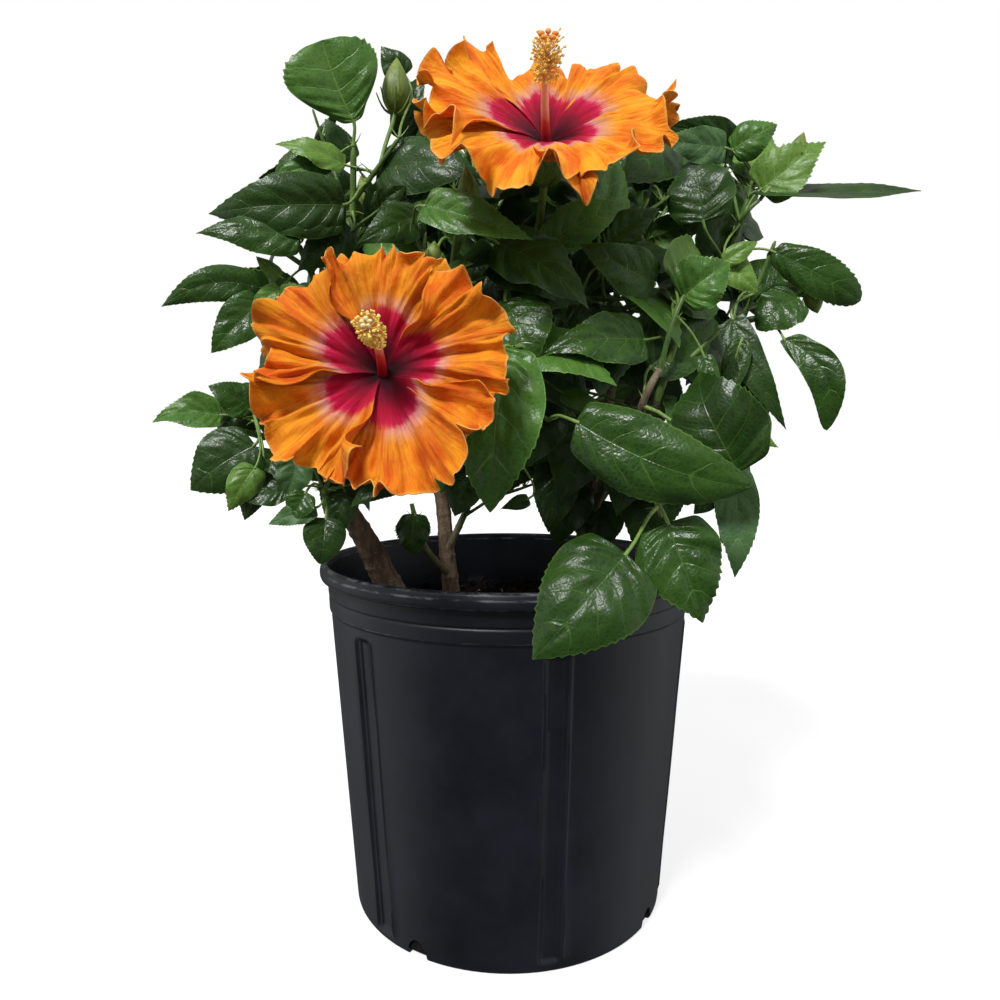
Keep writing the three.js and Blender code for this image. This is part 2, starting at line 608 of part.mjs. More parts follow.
// The rule for one leaf: old leaves at the foot of a twig are large and droop, young ones stand up
function addRuleLeaf(mass, twig, index, count) {
  const { random, spec } = mass;
  const age = 1 - (index + 0.5) / count;
  const at = twig.from + (1 - twig.from) * (index + 0.2 + 0.6 * random()) / count;
  const size = (YOUNG_LEAF + (OLD_LEAF - YOUNG_LEAF) * age) * (0.85 + 0.3 * random());
  const azimuth = spec.seed * 77 + index * GOLDEN_ANGLE + 24 * (random() - 0.5);
  const droop = (0.25 + 0.75 * age) * (0.5 + 0.7 * random());
  const roll = 1.2 * (random() - 0.5);
  const root = twig.curve.getPointAt(at);
  const axis = twig.curve.getTangentAt(at);
  return DODGES.some((dodge) => {
    const heading = turnedFrom(axis, LEAF_ANGLE + OLD_LEAF_ANGLE * age, azimuth + dodge);
    const outward = root.clone().sub(CORE).setZ(0).normalize();
    const base = root.clone().addScaledVector(heading, PETIOLE_TO_BLADE * size).addScaledVector(UP, 3);
    const blade = heading.clone().addScaledVector(outward, 0.35).addScaledVector(UP, -droop).normalize();
    const tip = base.clone().addScaledVector(blade, size);
    const looks = UP.clone().multiplyScalar(0.75)
      .addScaledVector(outward, 0.7)
      .addScaledVector(LIGHT, root.y < CORE.y ? 1 : 0)
      .addScaledVector(SIDEWAYS, roll);
    const fits = inCrown(tip) && !hidesBloom(tip) && !hidesBloom(base);
    return fits && tryLeaf(mass, root, base, tip, WIDTH_TO_LENGTH * size, looks);
  });
}

// Leaves go on in rounds, one for each twig of each mass, so that no mass takes all the room
function addRuleLeaves(masses) {
  const rounds = Math.max(...Object.values(MASSES).map((spec) => spec.leaves));
  for (let index = 0; index < rounds; index += 1) {
    for (const mass of Object.values(masses)) {
      mass.twigs.forEach((twig, order) => {
        const count = order === 0 ? mass.spec.leaves : TWIG_LEAVES;
        if (index < count) addRuleLeaf(mass, twig, index, count);
      });
    }
  }
}

// The ruffled funnel of five petals, as one thin shell whose profile closes on the axis
function corolla({ radius, curl, lean, seed }) {
  const upper = [[0, -6], [8, -3], [0.35 * radius, 10], [0.72 * radius, 18], [radius, 14]];
  const lower = upper.slice(2, 4).reverse().map(([r, z]) => [r - 1, z - PETAL_THICKNESS]);
  const profile = [...upper, ...lower, [8, -10], [0, -16]];
  const geometry = lathe(profile, BLOOM_SIDES);
  const position = geometry.attributes.position;
  for (let i = 0; i < position.count; i += 1) {
    const [x, y, z] = [position.getX(i), position.getY(i), position.getZ(i)];
    const reach = Math.hypot(x, y) / radius;
    const turn = Math.atan2(y, x);
    const lobe = 1 - 0.13 * reach ** 3 * (1 - Math.abs(Math.cos(PETALS * turn / 2)) ** 0.6);
    const fine = 5 * reach ** 4 * Math.sin(13 * turn + seed);
    const broad = 3 * reach ** 3 * Math.sin(PETALS * turn + 2 * seed);
    const fall = curl * Math.max(0, reach - 0.45) ** 2 * 3;
    position.setXYZ(i, x * lobe, y * lobe, z + fine + broad - fall - lean * x);
  }
  return toSolid(geometry);
}

// The column with its head of anthers, along +Z from the throat
function column(height) {
  const line = new THREE.LineCurve3(new THREE.Vector3(0, 0, -8), new THREE.Vector3(0, 0, height * 0.72));
  const stalk = limbPiece(line, 0, 1, taper(COLUMN_RADIUS, COLUMN_RADIUS * 0.7), 6, 1);
  const head = new THREE.SphereGeometry(1, 6, 4);
  head.rotateX(Math.PI / 2);
  head.scale(ANTHER_RADIUS, ANTHER_RADIUS, height * ANTHER_SHARE);
  head.translate(0, 0, height * (1 - ANTHER_SHARE));
  return [stalk, toSolid(head)];
}

// A cup of sepals under the petals
function calyx() {
  const foot = -CALYX_LENGTH;
  const profile = [
    [0, foot], [4, foot + 1], [CALYX_RADIUS - 2, foot + 12], [CALYX_RADIUS, foot + 26],
    [6, foot + 25], [0, foot + 14],
  ];
  return toSolid(lathe(profile, 6));
}

function buildBloom(name, spec) {
  const facing = new THREE.Quaternion().setFromUnitVectors(UP, vector(spec.looks).normalize());
  const turn = new THREE.Matrix4().compose(vector(spec.throat), facing, new THREE.Vector3(1, 1, 1));
  const flower = [corolla(spec), calyx(), ...column(spec.column)]
    .map((piece) => piece.transform(turn.elements));
  const { curve, start } = limbs[name];
  const stalk = limbPiece(curve, start, 1, taper(...STALK_RADII), 5, 4);
  return fuse([stalk, ...flower]);
}

// A bloom's stalk ends along the way the bloom looks
function addBloomStalk(name, spec) {
  const parent = limbs[spec.on];
  const root = parent.curve.getPointAt(spec.at);
  const looks = vector(spec.looks).normalize();
  const foot = vector(spec.throat).addScaledVector(looks, -32);
  const gap = root.distanceTo(foot);
  const leaving = growthCurve(root, parent.curve.getTangentAt(spec.at), foot).getTangentAt(0);
  const bend = root.clone().addScaledVector(leaving, 0.4 * gap);
  const arrive = foot.clone().addScaledVector(looks, -0.35 * gap);
  addCurve(name, spec, new THREE.CubicBezierCurve3(root, bend, arrive, foot), STALK_RADII);
}

function buildPlant() {
  addStems();
  Object.entries(BOUGHS).forEach(([name, spec]) => addLimb(name, spec, spec.radii));
  Object.entries(MASSES).forEach(([name, spec]) => addLimb(name, spec, SHOOT_RADII));
  Object.entries(BLOOMS).forEach(([name, spec]) => addBloomStalk(name, spec));
  const meshes = [];
  for (const name of [...Object.keys(STEMS), ...Object.keys(BOUGHS)]) {
    const solid = buildLimb(name, 6, 3);
    place(name, 'limb', solid);
    meshes.push(toMesh(name, solid, COLOURS.bark));
  }
  for (const [name, spec] of Object.entries(BLOOMS)) {
    const solid = buildBloom(name, spec);
    place(name, 'bloom', solid);
    meshes.push(toMesh(name, solid, COLOURS.bloom));
  }
  const masses = {};
  Object.entries(MASSES).forEach(([name, spec]) => {
    masses[name] = growTwigs(name, spec);
  });
  SHOW_LEAVES.forEach((leaf) => addShowLeaf(masses, leaf));
  BUDS.forEach((bud) => addBud(masses, bud));
  addRuleLeaves(masses);
  for (const mass of Object.values(masses)) {
    meshes.push(toMesh(mass.name, fuse(mass.pieces), COLOURS.leaf));
  }
  return meshes;
}

const shrub = new THREE.Group();
const pot = buildPot();
const mix = buildMix();
place('pot', 'pot', pot);
place('growing_mix', 'pot', mix);
shrub.add(toMesh('pot', pot, COLOURS.pot), toMesh('growing_mix', mix, COLOURS.mix), ...buildPlant());

export default shrub;
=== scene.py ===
# %% [markdown]
# # A hibiscus shrub in its nursery pot
#
# The object is a young garden hibiscus in the black pot that it was sold in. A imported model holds
# its plain solids, and this lesson dresses them: a moulded pot, a bark mix, woody stems, leaves
# with teeth and veins, and two ruffled blooms. Every shape is a surface that numpy works out as
# whole arrays from a few named sizes. Sizes are in millimetres and become metres in the mesh.

# %% Load the frame
import json
import math

import bpy
import numpy as np
from mathutils.bvhtree import BVHTree
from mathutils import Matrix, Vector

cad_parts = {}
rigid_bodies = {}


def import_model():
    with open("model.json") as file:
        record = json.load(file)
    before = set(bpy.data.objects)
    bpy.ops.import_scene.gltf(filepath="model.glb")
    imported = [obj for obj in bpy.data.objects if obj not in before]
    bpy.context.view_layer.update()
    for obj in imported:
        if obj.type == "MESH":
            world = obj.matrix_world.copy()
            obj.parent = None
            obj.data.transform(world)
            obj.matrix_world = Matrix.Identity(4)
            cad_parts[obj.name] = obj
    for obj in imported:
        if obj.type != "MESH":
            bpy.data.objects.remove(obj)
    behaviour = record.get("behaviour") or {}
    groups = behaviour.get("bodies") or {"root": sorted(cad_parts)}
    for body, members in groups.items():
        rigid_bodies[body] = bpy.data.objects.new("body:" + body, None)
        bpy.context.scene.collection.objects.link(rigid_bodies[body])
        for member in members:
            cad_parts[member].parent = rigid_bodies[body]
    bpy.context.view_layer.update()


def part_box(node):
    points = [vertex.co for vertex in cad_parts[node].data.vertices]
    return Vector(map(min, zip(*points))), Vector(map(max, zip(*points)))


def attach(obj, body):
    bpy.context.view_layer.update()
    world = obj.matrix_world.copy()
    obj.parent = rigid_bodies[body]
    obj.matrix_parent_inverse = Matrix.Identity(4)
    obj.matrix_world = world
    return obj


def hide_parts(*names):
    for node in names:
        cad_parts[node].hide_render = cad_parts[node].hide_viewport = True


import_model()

MM = 0.001

# %% [markdown]
# ## Camera and light
#
# The view is that of a phone held half a metre off, a little above the pot's middle and tipped down
# by five degrees. The light is plain and soft: one lamp from the front left and above, broad weak
# ones from the right and from behind, and a surround that is brighter overhead and at its sides.
# Suns are used, because they light floor and plant evenly wherever the view is taken from. The
# backdrop is white to the eye, but as a light it is dim, so that dark leaves and the black pot
# keep their depth.

# %% Camera
CAMERA_PLACE = (-6, -615, 354)
CAMERA_PITCH = 5.2
FOCAL_TO_WIDTH = 0.82
SENSOR = 36

lens_data = bpy.data.cameras.new("view")
lens_data.sensor_width = SENSOR
lens_data.lens = FOCAL_TO_WIDTH * SENSOR
lens_data.clip_start = 0.01
camera = bpy.data.objects.new("view", lens_data)
camera.location = [MM * value for value in CAMERA_PLACE]
camera.rotation_euler = (math.radians(90 - CAMERA_PITCH), 0, 0)
bpy.context.scene.collection.objects.link(camera)
bpy.context.scene.camera = camera
print("lens in millimetres:", round(lens_data.lens, 2))

# %% [markdown]
# Light and finishes are trees of nodes. Short helpers add a node and link whatever they are given,
# in the tree that the given sockets belong to, so that a tree reads like a formula.

# %% Node helpers
def tree_behind(values):
    """The node tree of the first socket among these values."""
    return next(value.id_data for value in values if isinstance(value, bpy.types.NodeSocket))


def feed(socket, value):
    """Links a socket to another one, or sets its own value."""
    if isinstance(value, bpy.types.NodeSocket):
        value.id_data.links.new(value, socket)
    else:
        socket.default_value = value


def add_node(kind, tree=None, **settings):
    """A node of this kind. A setting is a property, or an input that gets a value or a link."""
    node = (tree or tree_behind(settings.values())).nodes.new(kind)
    for key, value in settings.items():
        name = key.replace("_", " ") if key.replace("_", " ") in node.inputs else key
        if name in node.inputs:
            feed(node.inputs[name], value)
        else:
            setattr(node, key, value)
    return node


def calc(operation, *values):
    """One number worked out from others."""
    node = tree_behind(values).nodes.new("ShaderNodeMath")
    node.operation = operation
    for socket, value in zip(node.inputs, values):
        feed(socket, value)
    return node.outputs[0]


def plus(one, other):
    return calc("ADD", one, other)


def minus(one, other):
    return calc("SUBTRACT", one, other)


def times(one, other):
    return calc("MULTIPLY", one, other)


def larger(one, other):
    return calc("MAXIMUM", one, other)


def axes_of(place):
    """The three numbers of a coordinate."""
    return add_node("ShaderNodeSeparateXYZ", Vector=place).outputs


# %% Lamps and surround
# Where each lamp stands, its strength, and its width in degrees
SUNS = {
    "key": ((-0.42, -0.8, 1.0), 3.15, 13),
    "fill": ((0.85, -0.65, 0.55), 0.9, 55),
    "back": ((0.3, 0.9, 0.6), 0.7, 50),
}
# A lamp as wide as this makes no gloss
WIDE_LAMP = 40
SURROUND_LOW = 0.13
SURROUND_HIGH = 0.42
SURROUND_SIDES = 0.52
BACKDROP = 1.0


def add_sun(name, place, strength, width):
    """A lamp infinitely far off in the direction of place, as wide in the sky as width degrees."""
    lamp = bpy.data.lights.new(name, "SUN")
    lamp.energy = strength
    lamp.angle = math.radians(width)
    holder = bpy.data.objects.new(name, lamp)
    holder.visible_glossy = width < WIDE_LAMP
    x, y, z = place
    holder.rotation_euler = (math.atan2(math.hypot(x, y), z), 0, math.atan2(x, -y))
    bpy.context.scene.collection.objects.link(holder)


for name, (place, strength, width) in SUNS.items():
    add_sun(name, place, strength, width)


def eased(amount, *limits):
    """From the third limit to the fourth while the amount goes from the first to the second."""
    node = add_node("ShaderNodeMapRange", interpolation_type="SMOOTHSTEP", Value=amount)
    for socket, value in zip(node.inputs[1:5], limits):
        socket.default_value = value
    return node.outputs[0]


def add_surround():
    """White to the eye; as a light, dim below the horizon, brighter overhead and at both sides."""
    world = bpy.data.worlds.new("surround")
    world.use_nodes = True
    tree = world.node_tree
    across, _, up = axes_of(add_node("ShaderNodeTexCoord", tree).outputs["Generated"])
    overhead = eased(up, -0.1, 0.9, SURROUND_LOW, SURROUND_HIGH)
    sides = eased(calc("ABSOLUTE", across), 0.62, 0.97, 0, SURROUND_SIDES)
    seen_directly = add_node("ShaderNodeLightPath", tree).outputs["Is Camera Ray"]
    choose = add_node("ShaderNodeMix", Factor=seen_directly, A=plus(overhead, sides), B=BACKDROP)
    sky = tree.nodes["Background"]
    sky.inputs["Color"].default_value = (1, 1, 1, 1)
    feed(sky.inputs["Strength"], choose.outputs["Result"])
    bpy.context.scene.world = world


add_surround()
bpy.context.scene.view_settings.view_transform = "Standard"
print("lamps:", ", ".join(SUNS))

# %% [markdown]
# ## Surfaces as arrays
#
# A grid of points becomes quads, a path with radii becomes a tube, and a grid with a thickness
# becomes a thin closed shell. Each helper makes any number of copies at once, so a whole shoot of
# leaves is one array. A part is a small dictionary: points, faces by their number of corners, a
# place on the surface for each point, and the number of a finish for each face.


# %% Parts
def unit(vectors):
    """Each vector divided by its own length."""
    return vectors / np.maximum(np.linalg.norm(vectors, axis=-1, keepdims=True), 1e-9)


def smooth(low, high, x):
    """0 below low and 1 above high; between them 3tt - 2ttt, where t is the share of the way."""
    t = np.clip((x - low) / (high - low), 0, 1)
    return t * t * (3 - 2 * t)


def grid_quads(rows, cols, wrap=False):
    """Corners (r, c), (r, c+1), (r+1, c+1), (r+1, c) of each cell; wrap joins the last column to
    the first."""
    r, c = np.meshgrid(np.arange(rows - 1), np.arange(cols if wrap else cols - 1), indexing="ij")
    after = (c + 1) % cols
    corners = [r * cols + c, r * cols + after, (r + 1) * cols + after, (r + 1) * cols + c]
    return np.stack(corners, -1).reshape(-1, 4)


def copies_of(faces, count, size):
    """The same faces for count copies whose points follow each other, size points to a copy."""
    return (faces[None] + size * np.arange(count)[:, None, None]).reshape(-1, faces.shape[1])


def make_part(points, faces, uv=None, look=0):
    """Points and places as flat lists of rows, and one number of a finish for every face."""
    points = np.asarray(points, float).reshape(-1, 3)
    uv = np.zeros((len(points), 2)) if uv is None else np.asarray(uv, float).reshape(-1, 2)
    return {"points": points, "faces": faces, "uv": uv, "looks": [np.full(len(f), look) for f in faces]}


def join(parts):
    """One part from several: face numbers move up by the points that come before."""
    faces, looks, start = [], [], 0
    for part in parts:
        faces += [f + start for f in part["faces"]]
        looks += part["looks"]
        start += len(part["points"])
    points, uv = (np.concatenate([part[key] for part in parts]) for key in ("points", "uv"))
    return {"points": points, "faces": faces, "looks": looks, "uv": uv}


# %% Meshes
triangles_made = {}


def triangles_of(*kinds):
    """How many triangles the pieces have whose names start with one of these words."""
    return sum(count for name, count in triangles_made.items() if name.split("_")[0] in kinds)


def mesh_piece(name, part, finishes, stands_for=(), crease=40):
    """Writes a part into a mesh in metres, with edges sharper than crease degrees kept sharp."""
    mesh = bpy.data.meshes.new(name)
    corners = np.concatenate([f.ravel() for f in part["faces"]])
    totals = np.concatenate([np.full(len(f), f.shape[1]) for f in part["faces"]])
    mesh.vertices.add(len(part["points"]))
    mesh.vertices.foreach_set("co", (part["points"] * MM).astype(np.float32).ravel())
    mesh.loops.add(len(corners))
    mesh.loops.foreach_set("vertex_index", corners.astype(np.int32))
    mesh.polygons.add(len(totals))
    mesh.polygons.foreach_set("loop_start", (np.cumsum(totals) - totals).astype(np.int32))
    mesh.polygons.foreach_set("material_index", np.concatenate(part["looks"]).astype(np.int32))
    places = part["uv"][corners].astype(np.float32)
    mesh.uv_layers.new(name="surface").data.foreach_set("uv", places.ravel())
    mesh.update(calc_edges=True)
    mesh.validate()
    mesh.shade_smooth()
    mesh.set_sharp_from_angle(angle=math.radians(crease))
    for finish in finishes:
        mesh.materials.append(finish)
    piece = bpy.data.objects.new(name, mesh)
    bpy.context.scene.collection.objects.link(piece)
    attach(piece, "root")
    if stands_for:
        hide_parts(*stands_for)
    triangles_made[name] = int((totals - 2).sum())
    return piece


# %% Tubes and shells
SIDEWAYS = unit(np.array([0.8, 0.5, -0.33]))
UP = np.array([0.0, 0.0, 1.0])


def tubes(paths, radii, sides, look=0, relief=0):
    """Closed tubes: point = path + radius (1 + relief) (side cos a + other sin a). Side is square
    to the path and to one fixed direction that no limb follows, and other is square to both."""
    paths = np.asarray(paths, float)
    count, steps = paths.shape[:2]
    radii = np.broadcast_to(radii, (count, steps))
    tangent = unit(np.gradient(paths, axis=1))
    side = unit(np.cross(SIDEWAYS, tangent))
    other = np.cross(side, tangent)
    angle = 2 * np.pi * np.arange(sides) / sides
    ring = side[:, :, None] * np.cos(angle)[:, None] + other[:, :, None] * np.sin(angle)[:, None]
    points = paths[:, :, None] + ring * (radii[:, :, None] * (1 + relief))[..., None]
    size = steps * sides
    wall = grid_quads(steps, sides, wrap=True)[:, ::-1]
    start = np.arange(sides)[None]
    end = (size - 1 - np.arange(sides))[None]
    uv = np.stack(np.meshgrid(np.linspace(0, 1, steps), angle / (2 * np.pi), indexing="ij"), -1)
    uv = np.broadcast_to(uv[None], (count, steps, sides, 2))
    return make_part(points, [copies_of(f, count, size) for f in (wall, start, end)], uv, look)


def bowed(start, out, bow, steps):
    """Paths for tubes: start + t out + t^2 bow, one for each row."""
    t = np.linspace(0, 1, steps)[None, :, None]
    return start[:, None] + t * out[:, None] + t ** 2 * bow[:, None]


def shells(top, thickness, uv, top_looks, under_looks):
    """Thin closed sheets: the under side is the top moved back along its own normal by the
    thickness, and a strip of quads closes the margin."""
    count, rows, cols = top.shape[:3]
    normal = unit(np.cross(np.gradient(top, axis=2), np.gradient(top, axis=1)))
    under = top - normal * thickness
    size = rows * cols
    face = grid_quads(rows, cols)
    number = np.arange(size).reshape(rows, cols)
    loop = np.concatenate([number[0, :-1], number[:-1, -1], number[-1, :0:-1], number[:0:-1, 0]])
    after = np.roll(loop, -1)
    margin = np.stack([loop, loop + size, after + size, after], -1)
    points = np.stack([top.reshape(count, size, 3), under.reshape(count, size, 3)], 1)
    faces = [copies_of(f, count, 2 * size) for f in (face, face[:, ::-1] + size, margin)]
    part = make_part(points, faces, np.broadcast_to(uv[None, None], (count, 2, rows, cols, 2)))
    kinds = ((top_looks, face), (under_looks, face), (top_looks, margin))
    part["looks"] = [np.repeat(looks, len(f)) for looks, f in kinds]
    return part


print("a tube of 3 rings and 6 sides has", len(tubes(np.eye(3)[None] * 10, 1.0, 6)["points"]), "points")

# %% [markdown]
# ## Finishes
#
# Each finish is a small tree of nodes round one Principled shader, written with the same helpers.
# Patterns read Object coordinates, or the surface's own u and v where they follow the piece, as
# veins do.


# %% Colour and texture helpers
def ramp(amount, *stops):
    """A colour for each amount: stops are (place, (red, green, blue))."""
    node = amount.id_data.nodes.new("ShaderNodeValToRGB")
    feed(node.inputs[0], amount)
    elements = node.color_ramp.elements
    while len(elements) < len(stops):
        elements.new(0.5)
    for element, (place, colour) in zip(elements, stops):
        element.position = place
        element.color = (*colour, 1)
    return node.outputs[0]


def mask(amount, low, high, most=1.0):
    """Black where the amount is under low, and most of white where it is over high."""
    return ramp(amount, (low, (0, 0, 0)), (high, (most, most, most)))


def blend_colours(amount, first, second, kind="MIX"):
    """first where amount is 0 and second where it is 1."""
    node = amount.id_data.nodes.new("ShaderNodeMixRGB")
    node.blend_type = kind
    for socket, value in zip(node.inputs, (amount, first, second)):
        feed(socket, (*value, 1) if isinstance(value, (tuple, list)) else value)
    return node.outputs[0]


def new_finish(name, **constants):
    """A material with its shader, Object coordinates and the surface's u and v."""
    finish = bpy.data.materials.new(name)
    finish.use_nodes = True
    tree = finish.node_tree
    shader = tree.nodes["Principled BSDF"]
    for key, value in constants.items():
        shader.inputs[key.replace("_", " ")].default_value = value
    place = tree.nodes.new("ShaderNodeTexCoord").outputs["Object"]
    surface = add_node("ShaderNodeUVMap", tree, uv_map="surface").outputs[0]
    return finish, shader, place, surface


def finish_with(shader, colour=None, roughness=None, height=None, strength=0.5, distance=0.001):
    """Links the colour, the roughness and a bump whose height is given."""
    if colour is not None:
        feed(shader.inputs["Base Color"], colour)
    if roughness is not None:
        feed(shader.inputs["Roughness"], roughness)
    if height is not None:
        bump = add_node("ShaderNodeBump", Height=height, Strength=strength, Distance=distance)
        feed(shader.inputs["Normal"], bump.outputs[0])


def stretched(place, scale):
    """Coordinates stretched or squeezed along each axis."""
    return add_node("ShaderNodeMapping", Vector=place, Scale=scale).outputs[0]


def noise(place, scale, detail=4.0, rough=0.55):
    """Soft random clouds, scale of them to a metre, or one scale for each axis."""
    if isinstance(scale, tuple):
        place, scale = stretched(place, scale), 1.0
    node = add_node("ShaderNodeTexNoise", Vector=place, Scale=scale, Detail=detail, Roughness=rough)
    return node.outputs[0]


# %% [markdown]
# ## The pot
#
# The pot is one thin shell of black polypropylene, blow moulded. It has a beaded lip, two bands with a
# groove between them, and a slowly tapering wall with six pressed-in channels whose sides go down in
# two small steps, and four drain holes at its foot. The shell is a profile turned round the axis:
# each profile point also says how much of the channels it feels, so inner and outer wall are
# pressed in together.

# %% Pot sizes
POT_HEIGHT = 255
RIM_RADIUS = 139.5
LIP_HEIGHT = 12
LIP_FOOT = POT_HEIGHT - LIP_HEIGHT
BAND_RADIUS = 133.5
BAND_HEIGHT = 11
GROOVE = 1.2
SHOULDER_RADIUS = 130.5
SHOULDER_HEIGHT = 205
BASE_RADIUS = 115.5
WALL = 2
FLOOR = 2.5
CHANNELS = 6
CHANNEL_TURN = 13
CHANNEL_WIDTH = 15.5
CHANNEL_DEPTH = 2.5
CHANNEL_TOP = 216
CHANNEL_FADE = 5
CHANNEL_FOOT = 5
DRAINS = 4
DRAIN_WIDTH = 16
DRAIN_HEIGHT = 12
DRAIN_TURN = -32
MIX_LEVEL = 213
GAP = 0.3
RIDGE = 0.8
EVEN_STEPS = 120
CHANNEL_ANGLES = np.radians(-90 + CHANNEL_TURN + np.arange(CHANNELS) * 360 / CHANNELS)


# %% Pot surface
def wall_radius(height):
    """The outside of the wall widens evenly from the base to the shoulder."""
    return BASE_RADIUS + (SHOULDER_RADIUS - BASE_RADIUS) * height / SHOULDER_HEIGHT


def rounded(profile, reach=0.9):
    """Each corner of a profile becomes a short quadratic arc that starts reach before the corner and
    ends reach after it, or a third of the way to its neighbour where that is nearer."""
    profile = np.array(profile, float)
    points = [profile[0]]
    for before, corner, after in zip(profile, profile[1:], profile[2:]):
        back, on = before - corner, after - corner
        start = corner + back * min(reach / np.linalg.norm(back), 0.33)
        end = corner + on * min(reach / np.linalg.norm(on), 0.33)
        for t in (0, 0.5, 1):
            points.append((1 - t) ** 2 * start + 2 * t * (1 - t) * corner + t * t * end)
    return np.array([*points, profile[-1]])


def turned_round(profile, angles):
    """Turns (radius, height) pairs round the axis: the channels press the wall in by two steps, and
    leave a fine ridge along each side."""
    radius, height = profile[:, :1], profile[:, 1:]
    apart = (angles[None] - CHANNEL_ANGLES[:, None] + np.pi) % (2 * np.pi) - np.pi
    off = np.abs(apart).min(0)[None] * np.maximum(radius, 1)
    half = CHANNEL_WIDTH / 2
    outer_step = 1 - smooth(half - 0.7, half + 0.5, off)
    inner_step = 1 - smooth(half - 3.4, half - 2.2, off)
    press = 0.5 * outer_step + 0.5 * inner_step
    ridge = RIDGE * np.exp(-(((off - half - 1.1) / 0.55) ** 2))
    ends = 1 - smooth(CHANNEL_TOP - CHANNEL_FADE, CHANNEL_TOP, height)
    fades = smooth(CHANNEL_FOOT, 2 * CHANNEL_FOOT, height) * ends
    on_wall = smooth(BASE_RADIUS - 14, BASE_RADIUS - 6, radius) * fades
    around = radius + (ridge - CHANNEL_DEPTH * press) * on_wall
    return np.stack([around * np.cos(angles), around * np.sin(angles), height + 0 * around], -1)


def turning_angles():
    """Even steps round the pot, and finer ones at the edges of each channel."""
    edges = CHANNEL_WIDTH / 2 + np.array([-3.5, -2.8, -2.1, -0.8, -0.1, 0.6, 1.1, 1.8])
    fine = CHANNEL_ANGLES[:, None] + np.concatenate([edges, -edges])[None] / wall_radius(CHANNEL_TOP / 2)
    even = np.linspace(-np.pi, np.pi, EVEN_STEPS, endpoint=False)
    return np.unique(np.round(np.concatenate([fine.ravel(), even]) % (2 * np.pi), 5))


def closed_turning(profile):
    """A turned surface whose first and last rings are closed by one flat face each."""
    angles = turning_angles()
    points = turned_round(profile, angles)
    rows, cols = points.shape[:2]
    wall = grid_quads(rows, cols, wrap=True)
    first = np.arange(cols)[::-1][None]
    last = (np.arange(cols) + (rows - 1) * cols)[None]
    uv = np.stack(np.meshgrid(np.linspace(0, 1, rows), angles / (2 * np.pi), indexing="ij"), -1)
    return make_part(points, [wall, first, last], uv)


def pot_profile():
    """Up the outside from the middle of the underside, over the lip, and down the inside."""
    band_foot = LIP_FOOT - BAND_HEIGHT
    step_foot = band_foot - BAND_HEIGHT
    foot = [(wall_radius(z), z) for z in (3.5, 5.5, 7.5, 9.5, 12)]
    wall = [(wall_radius(z), z) for z in np.linspace(17, step_foot - 14, 24)]
    top = [(wall_radius(z), z) for z in (step_foot - 10, step_foot - 8, step_foot - 6, step_foot - 3)]
    outer = [
        (4, 0), (BASE_RADIUS - 12, 0), (BASE_RADIUS - 1.5, 0), (BASE_RADIUS, 2), *foot, *wall, *top,
        (SHOULDER_RADIUS + 1, step_foot - 0.4), (BAND_RADIUS - 0.6, step_foot + 1.1),
        (BAND_RADIUS - 0.3, band_foot - 1.3), (BAND_RADIUS - GROOVE, band_foot),
        (BAND_RADIUS, band_foot + 1.3), (BAND_RADIUS + 0.4, LIP_FOOT),
        (RIM_RADIUS - 1, LIP_FOOT + 1.2), (RIM_RADIUS, LIP_FOOT + 4), (RIM_RADIUS, POT_HEIGHT - 4.5),
        (RIM_RADIUS - 0.8, POT_HEIGHT - 1.2), (RIM_RADIUS - 2.4, POT_HEIGHT),
    ]
    heights = [step_foot, *np.linspace(step_foot - 6, 8, 22), FLOOR]
    inner = [(RIM_RADIUS - 5, POT_HEIGHT), (RIM_RADIUS - 6, POT_HEIGHT - 4)]
    inner += [(wall_radius(z) - WALL, z) for z in heights]
    return rounded([*outer, *inner, (BASE_RADIUS - 14, FLOOR), (4, FLOOR)])


# %% [markdown]
# The finish of the pot is a black plastic with a cold blue cast: satin, with faint upright flow marks
# from the mould, dust that gathers in patches, and broken pale scuffs on the edges of lip and
# bands. The scuffs are where a noise, squeezed along the lip, is high, the height is near that of
# an edge, and the point is outside the wall, so that the inside stays clean.


# %% Pot finish
SCUFFED_EDGES = (POT_HEIGHT - 0.6, POT_HEIGHT - 4.5, LIP_FOOT + 1, LIP_FOOT - 2 * BAND_HEIGHT + 1)
SCUFF_WIDTH = 1.1
# Scuffs lie farther from the axis than this
SCUFFED_FROM = 132.8


def pot_plastic():
    """Dusty blue-black, mixed with grey where stray marks are, and with pale grey at the scuffs."""
    finish, shader, place, _ = new_finish("black_pot_plastic", Specular_IOR_Level=0.38)
    flow = noise(place, (26, 26, 3), 5)
    dust = noise(place, 17, 6, 0.65)
    grain = noise(place, 900, 2)
    scuff = noise(place, (70, 70, 240), 8, 0.75)
    height = axes_of(place)[2]
    edges = 0.0
    for edge in SCUFFED_EDGES:
        away = calc("ABSOLUTE", minus(height, edge * MM))
        edges = larger(minus(1, times(away, 1 / (SCUFF_WIDTH * MM))), edges)
    off_axis = add_node("ShaderNodeVectorMath", operation="LENGTH", Vector=stretched(place, (1, 1, 0)))
    outside = calc("GREATER_THAN", off_axis.outputs["Value"], SCUFFED_FROM * MM)
    marks = times(mask(scuff, 0.47, 0.6), times(edges, outside))
    stray = mask(noise(place, (50, 50, 300), 9, 0.8), 0.7, 0.78, 0.5)
    base = ramp(dust, (0.32, (0.0034, 0.0042, 0.0074)), (0.68, (0.0088, 0.0108, 0.0172)))
    colour = blend_colours(stray, base, (0.035, 0.04, 0.05))
    colour = blend_colours(marks, colour, (0.14, 0.15, 0.165))
    roughness = plus(0.26, times(plus(dust, flow), 0.14))
    finish_with(shader, colour, roughness, plus(grain, times(flow, 5)), 0.3, 0.0002)
    return finish


# %% Cut drain holes
DRAIN_RINGS = 3
DRAIN_SIDES = 18


